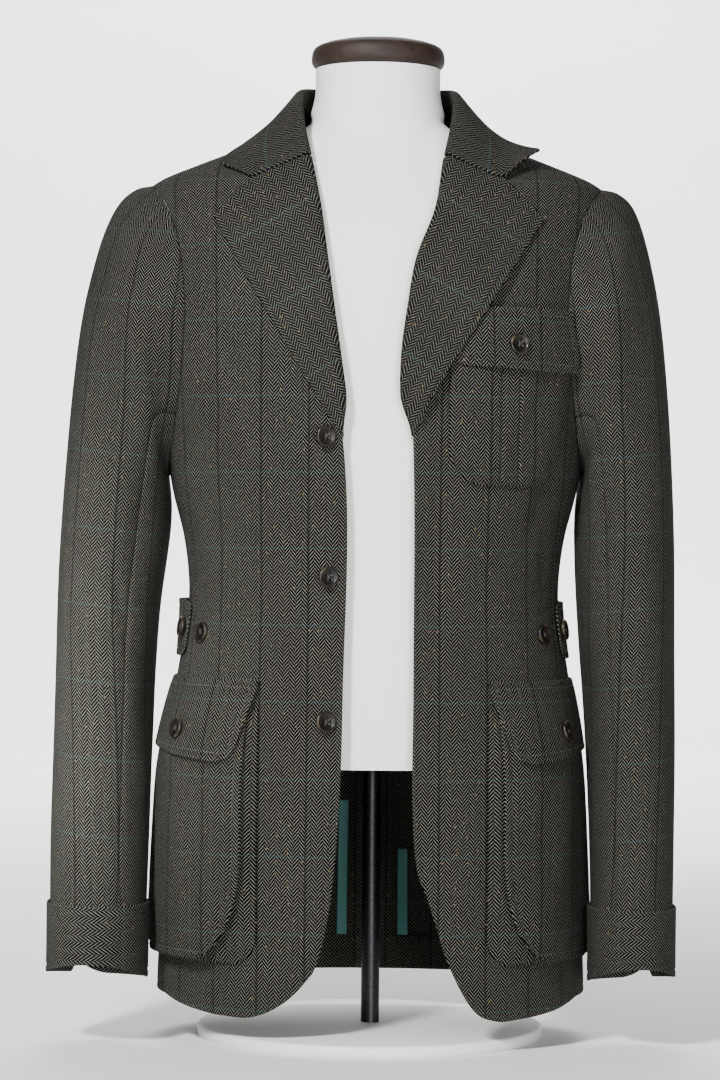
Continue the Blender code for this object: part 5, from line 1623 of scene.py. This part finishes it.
def body_button(node, side, around, height, lift, tilt=0.0):
    """A button on the body, tilted on its thread towards the front edge."""
    spot, normal = on_body(side, np.array([around]), np.array([height]), lift)
    across = unit(np.cross(normal[0], (0.0, 0.0, 1.0)))
    across *= -np.sign(across[0])
    button(node, spot[0], math.cos(tilt) * normal[0] + math.sin(tilt) * across, side)


def flap_button(node, side, shape, down, aside=0.0):
    """A button on a flap, seated by the slope between places beside and below it."""
    spot = []
    for over, under in ((0, 0), (FLAP_STEP, 0), (-FLAP_STEP, 0), (0, FLAP_STEP)):
        across, at = np.array([aside + over]), np.array([down + under])
        girth = across * shape["half_bottom"]
        around, height, out = flap_place(side, shape, across, at, girth)
        spot.append(on_body(side, around, height, out + LAYER + BUTTON_SEAT)[0][0])
    normal = unit(np.cross(spot[3] - spot[0], spot[1] - spot[2]))
    button(node, spot[0], normal * np.sign(normal[0] - normal[1]), side)


waist = (TAB_LOW + TAB_HIGH) / 2
for number, (x, height) in enumerate(FRONT_BUTTONS, start=1):
    around = float(around_of_x(x, height))
    body_button("button_front_%d" % number, -1, around, height, FRONT_LIFT, FRONT_TILT)
for side, hand in HANDS.items():
    flap_button("button_hip_" + hand, side, HIP_FLAP, HIP_BUTTON_DOWN, HIP_BUTTON_ASIDE)
    seat = float(tab_out(side, TAB_BUTTON, waist)) + LAYER + TAB_SEAT
    body_button("button_tab_" + hand, side, TAB_BUTTON, waist, seat)
    body_button("button_waist_" + hand, side, WAIST_BUTTON[side], waist - WAIST_DROP, WAIST_SEAT)
flap_button("button_chest", 1, CHEST_FLAP, CHEST_BUTTON_DOWN)
print("buttons:", len(BUTTON_SPOTS))

# %% [markdown]
# ## Stitches
# Each stitch is a small lozenge of thread that dips at both ends. Rows of them follow the grooves
# near the edges. Particles could scatter them, but a row must keep its step and direction, so it is
# walked by length.

# %% Threads
# half of the stretch over which a row's direction is read
DIRECTION_STEP = 5e-4


def thread(name, colour):
    start, shader, material = finish(name, Sheen_Weight=0.1)
    twist = start.noise(start.place(), 2500.0)
    feed(shader, Base_Color=start.paint(colour).shade(0.6 + 0.8 * twist),
         Roughness=0.6 + 0.2 * twist)
    return material


def walked(path, step):
    """Even places along a line of points: middles, and the direction there."""
    length = line_length(path)
    count = max(2, int(length[-1] / step))
    at = (np.arange(count) + 0.5) * length[-1] / count
    before, after = (np.stack([np.interp(at + d, length, values) for values in path.T], axis=-1)
                     for d in (-DIRECTION_STEP, DIRECTION_STEP))
    return (before + after) / 2, unit(after - before)


def lozenges(middles, ways, normals, length, half, rise):
    """Points and faces of six-cornered threads."""
    ahead, aside, up = ways * length / 2, np.cross(ways, normals) * half, normals * rise
    corners = np.stack((middles - ahead, middles + aside, middles + ahead, middles - aside,
                        middles + up, middles - up), axis=1)
    shape = [(k, (k + 1) % 4, 4) for k in range(4)] + [((k + 1) % 4, k, 5) for k in range(4)]
    base = np.arange(len(middles))[:, None, None] * corners.shape[1]
    return corners.reshape(-1, 3), (base + np.array(shape)[None]).reshape(-1, 3)


def threads_piece(name, parts, material):
    """One object of many threads; each part is points and faces."""
    points, faces, start = [], [], 0
    for corners, triangles in parts:
        points.append(corners)
        faces.append(triangles + start)
        start += len(corners)
    piece = mesh_object(name, np.concatenate(points), np.concatenate(faces).tolist())
    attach(piece, "root")
    piece.data.materials.append(material)
    print(name, len(piece.data.polygons), "faces")


THREAD = thread("brown_thread", (0.014, 0.013, 0.011, 1.0))
TIE_THREAD = thread("button_thread", (0.030, 0.024, 0.020, 1.0))
print("threads:", THREAD.name, TIE_THREAD.name)

# %% Stitches
# line of points on which an edge's groove lies
GROOVE = 4
STITCH_LENGTH = 0.0026
STITCH_STEP = 0.0034
STITCH_HALF = 0.00040
STITCH_RISE = 0.00050
STITCH_SINK = 0.0003
# threads that cross on a button
TIE_LENGTH = 0.62 * BUTTON_RADIUS
TIE_HALF = 0.0007
TIE_RISE = 0.0006


def grooves(grid, edges):
    """Lines of points along the grooves of a grid, and their normals there."""
    normal = sheet_normals(grid)
    normal *= np.sign((normal[..., 0] - normal[..., 1]).sum())
    inside = slice(GROOVE, -GROOVE)
    picks = {"first_row": (GROOVE, inside), "last_row": (-1 - GROOVE, inside),
             "first_column": (inside, GROOVE), "last_column": (inside, -1 - GROOVE)}
    return [(grid[picks[edge]], normal[picks[edge]]) for edge in edges]


def stitch_rows(side, grid, edges):
    """Stitches along the grooves of a piece's edges."""
    parts = []
    for path, normal in grooves(grid, edges):
        middles, ways = walked(path, STITCH_STEP)
        share = np.linspace(0, len(normal) - 1, len(middles)).astype(int)
        out = unit(normal[share])
        corners, faces = lozenges(middles - out * STITCH_SINK, ways, out,
                                  STITCH_LENGTH, STITCH_HALF, STITCH_RISE)
        parts.append((corners * (side, 1, 1), faces))
    return parts


AROUND_FLAP = ("first_row", "last_row", "first_column", "last_column")
AROUND_PATCH = ("first_row", "first_column", "last_column")
AROUND_TAB = ("first_row", "last_row", "first_column")
rows = []
for side in HANDS:
    rows += stitch_rows(side, FLAP_EDGES[side], AROUND_FLAP)
    rows += stitch_rows(side, HIP_EDGES[side], AROUND_PATCH)
    rows += stitch_rows(side, TAB_EDGES[side], AROUND_TAB)
rows += stitch_rows(1, CHEST_EDGE, AROUND_PATCH)
rows += stitch_rows(1, CHEST_FLAP_EDGE, AROUND_FLAP)
threads_piece("stitches_pockets", rows, THREAD)
ties = []
for side, centre, first, second, normal in BUTTON_SPOTS:
    for way in (1, -1):
        ahead = unit(first + way * second)
        corners, faces = lozenges(centre[None], ahead[None], normal[None],
                                  TIE_LENGTH, TIE_HALF, TIE_RISE)
        ties.append((corners * (side, 1, 1), faces))
threads_piece("stitches_buttons", ties, TIE_THREAD)

# %% [markdown]
# ## The dress form
# The form is a smooth padded body a little inside the jacket, with a neck, a turned wooden cap, a
# pole and a flat base. It is the same sections again, drawn in by a clearance, so it can never come
# through the cloth.

# %% Profiles of the form
FORM_BOTTOM = 0.236
FORM_TOP = 0.777
NECK_TOP = 0.838
GAP = 0.0003
# height, clearance inside the cloth, clearance under the shoulder seam
FORM_CLEAR = np.array((
    (FORM_BOTTOM, 0.0180, 0.0180),
    (0.390, 0.0130, 0.0130),
    (0.540, 0.0100, 0.0100),
    (0.650, 0.0070, 0.0070),
    (0.714, 0.0045, 0.0040),
    (0.736, 0.0036, 0.0010),
    (0.768, 0.0034, 0.0007),
    (NECK_HEIGHT, 0.0034, 0.0007),
))
SEAT_WIDTH = 0.12
FORM_PLACES = 97
# first height, last height and number of rows, closer together at the shoulders
FORM_ROWS = ((FORM_BOTTOM, 0.70, 60), (0.704, FORM_TOP, 22))
NECK_ROWS = 26
# height, half width, front, back
FORM_NECK = (
    (NECK_HEIGHT, 0.0640, 0.0490, 0.0585),
    (0.800, 0.0580, 0.0515, 0.0560),
    (0.812, 0.0550, 0.0535, 0.0545),
    (NECK_TOP, 0.0540, 0.0540, 0.0540),
)
# radius, height above the neck
CAP_PROFILE = ((0.0520, GAP), (0.0550, 0.0012), (0.0565, 0.0025), (0.0577, 0.005),
               (0.0580, 0.008), (0.0578, 0.0115), (0.0570, 0.015), (0.0552, 0.018),
               (0.0520, 0.020), (0.0460, 0.0222), (0.0380, 0.024), (0.0270, 0.0253),
               (0.0150, 0.026))
# radius, height above the floor
BASE_PROFILE = ((0.149, 0.0), (0.150, 0.001), (0.150, 0.007), (0.1494, 0.0086), (0.1482, 0.0095),
                (0.147, 0.010))
POLE_PROFILE = ((0.008, 0.010 + GAP), (0.008, FORM_BOTTOM - GAP))
print("form:", FORM_BOTTOM, "to", NECK_TOP, "m")

# %% Dress form
TURN_SIDES = 128
SHARP = math.radians(50)


def loops(name, node, grid, material):
    """A part of the form, of stacked rings."""
    piece = ring_object(name, grid)
    piece.data.set_sharp_from_angle(angle=SHARP)
    dress(piece, node, material)
    print(name, len(piece.data.polygons), "faces")


def painted(name, low, high, rough, scale, grain=(1.0, 1.0, 1.0), **constants):
    """A plain surface that varies a little between two colours."""
    start, shader, material = finish(name, **constants)
    sockets = {0: start.place(), 1: grain}
    place = start.node("ShaderNodeVectorMath", {"operation": "MULTIPLY"}, sockets)
    grainy = start.noise(place, scale, 4.0, 0.6)
    feed(shader, Base_Color=grainy.ramp((0.30, dyed(low)), (0.70, dyed(high))),
         Roughness=rough + 0.15 * grainy, Normal=start.bump(grainy, 0.12, 0.0006))
    return material


def turned(name, node, profile, material, lift=0.0):
    """A part of the form that is turned on a lathe."""
    turn = np.linspace(0, 2 * math.pi, TURN_SIDES, endpoint=False)[None, :]
    radius, level = np.array(profile).T[..., None]
    places = np.broadcast_arrays(radius * np.cos(turn), radius * np.sin(turn), level + lift)
    loops(name, node, np.stack(places, axis=-1), material)


def form_torso():
    place = np.linspace(0, BACK_PLACE, FORM_PLACES)[None, :]
    height = np.concatenate([np.linspace(*rows) for rows in FORM_ROWS])[:, None]
    clear, seat = (curve(FORM_CLEAR, k, height) for k in (1, 2))
    gap = seat + (clear - seat) * np.clip(np.abs(place - 1) / SEAT_WIDTH, 0, 1)
    body, _ = on_body(0, place, height, -CLOTH - gap)
    body[0, :, 2] = FORM_BOTTOM
    turn = np.linspace(0, math.pi, place.size)
    neck = [body[-1]]
    for level, across, front, back in FORM_NECK:
        depth = np.where(np.cos(turn) > 0, front, back)
        ring = (across * np.sin(turn), -depth * np.cos(turn), np.full_like(turn, level))
        neck.append(np.stack(ring, axis=-1))
    knots = np.array([FORM_TOP] + [row[0] for row in FORM_NECK])
    rise = through(knots, np.stack(neck, axis=0), np.linspace(FORM_TOP, NECK_TOP, NECK_ROWS), 0)
    grid = np.concatenate((body, rise[1:]))
    grid[:, [0, -1], 0] = 0.0
    whole = np.concatenate((grid, grid[:, -2:0:-1] * (-1, 1, 1)), axis=1)
    cotton = painted("white_cotton", (0.74, 0.74, 0.72), (0.82, 0.82, 0.80), 0.75, 900.0)
    loops("form_body", "form_torso", whole, cotton)


form_torso()
WOOD = painted("turned_wood", (0.008, 0.0042, 0.0030), (0.026, 0.014, 0.009), 0.55, 60.0,
               (1.0, 8.0, 3.0), Specular_IOR_Level=0.3)
STEEL = painted("dark_steel", (0.020, 0.020, 0.022), (0.045, 0.045, 0.048), 0.32, 400.0,
                Metallic=1.0)
PAINT = painted("white_paint", (0.70, 0.70, 0.68), (0.76, 0.76, 0.74), 0.45, 300.0)
turned("form_neck_cap", "form_cap", CAP_PROFILE, WOOD, NECK_TOP)
turned("form_post", "form_pole", POLE_PROFILE, STEEL)
turned("form_foot", "form_base", BASE_PROFILE, PAINT)

# %% [markdown]
# ## Studio
# A pale floor sweeps up into a backdrop, so that no corner shows. The main light stands in front,
# to the left and above, a broad one fills from the right, a narrow one lifts the left sleeve, and
# two more wash the backdrop and the floor. The world adds the rest. The camera stands where the
# photograph was taken.

# %% Floor
FLOOR_FRONT = -6.0
FLOOR_BACK = 4.2
SWEEP_RADIUS = 1.2
WALL_TOP = 5.0
HALF_WIDTH = 6.0


def backdrop():
    reach = np.linspace(FLOOR_FRONT, FLOOR_BACK, 30)
    bend = np.linspace(0, math.pi / 2, 24)[1:]
    wall_y = FLOOR_BACK + SWEEP_RADIUS
    y = np.concatenate((reach, FLOOR_BACK + SWEEP_RADIUS * np.sin(bend), (wall_y,)))
    z = np.concatenate((0 * reach, SWEEP_RADIUS * (1 - np.cos(bend)), (WALL_TOP,)))
    points = [(x, b, c) for b, c in zip(y, z) for x in (-HALF_WIDTH, HALF_WIDTH)]
    faces = [(2 * k, 2 * k + 1, 2 * k + 3, 2 * k + 2) for k in range(len(y) - 1)]
    mesh = bpy.data.meshes.new("studio_sweep")
    mesh.from_pydata(points, [], faces)
    mesh.shade_smooth()
    piece = bpy.data.objects.new("studio_sweep", mesh)
    bpy.context.collection.objects.link(piece)
    paper = painted("pale_paper", (0.80, 0.80, 0.79), (0.83, 0.83, 0.82), 0.85, 3.0)
    piece.data.materials.append(paper)


backdrop()
print("floor and backdrop:", 2 * HALF_WIDTH, "m wide")

# %% Lights and camera
# name, place, aim, diameter, power in watts, spread in degrees
LAMPS = (
    ("key", (-1.1, -2.4, 2.1), (0.0, 0.0, 0.45), 0.45, 166.0, 180.0),
    ("fill", (0.7, -2.9, 0.50), (0.0, 0.0, 0.35), 1.0, 78.0, 180.0),
    ("sleeve_spot", (-1.0, -2.7, 0.55), (-0.38, -0.03, 0.29), 0.25, 1.7, 12.0),
    ("back_wash", (0.0, 2.8, 3.6), (0.0, 5.2, 0.6), 2.5, 520.0, 180.0),
    ("floor_wash", (0.0, -1.6, 3.0), (0.0, 0.6, 0.0), 1.6, 10.0, 180.0),
)
for name, spot, aim, size, power, spread in LAMPS:
    lamp = bpy.data.lights.new(name, "AREA")
    lamp.shape = "DISK"
    lamp.size = size
    lamp.energy = power
    lamp.spread = math.radians(spread)
    light = bpy.data.objects.new(name, lamp)
    light.location = spot
    light.rotation_euler = (Vector(aim) - Vector(spot)).to_track_quat("-Z", "Y").to_euler()
    bpy.context.collection.objects.link(light)

world = bpy.data.worlds.new("studio")
world.use_nodes = True
sky = world.node_tree.nodes["Background"].inputs
sky["Color"].default_value = (0.95, 0.97, 1.0, 1.0)
sky["Strength"].default_value = 0.10
bpy.context.scene.world = world
lens = bpy.data.cameras.new("camera")
lens.sensor_fit = "VERTICAL"
lens.sensor_height = 24.0
lens.lens = 76.6
camera = bpy.data.objects.new("camera", lens)
camera.location = (-0.0122, -3.0, 0.429)
camera.rotation_euler = (math.radians(90), math.radians(-0.5), 0.0)
bpy.context.collection.objects.link(camera)
bpy.context.scene.camera = camera
print("lamps:", len(LAMPS), "camera at", tuple(round(value, 4) for value in camera.location))
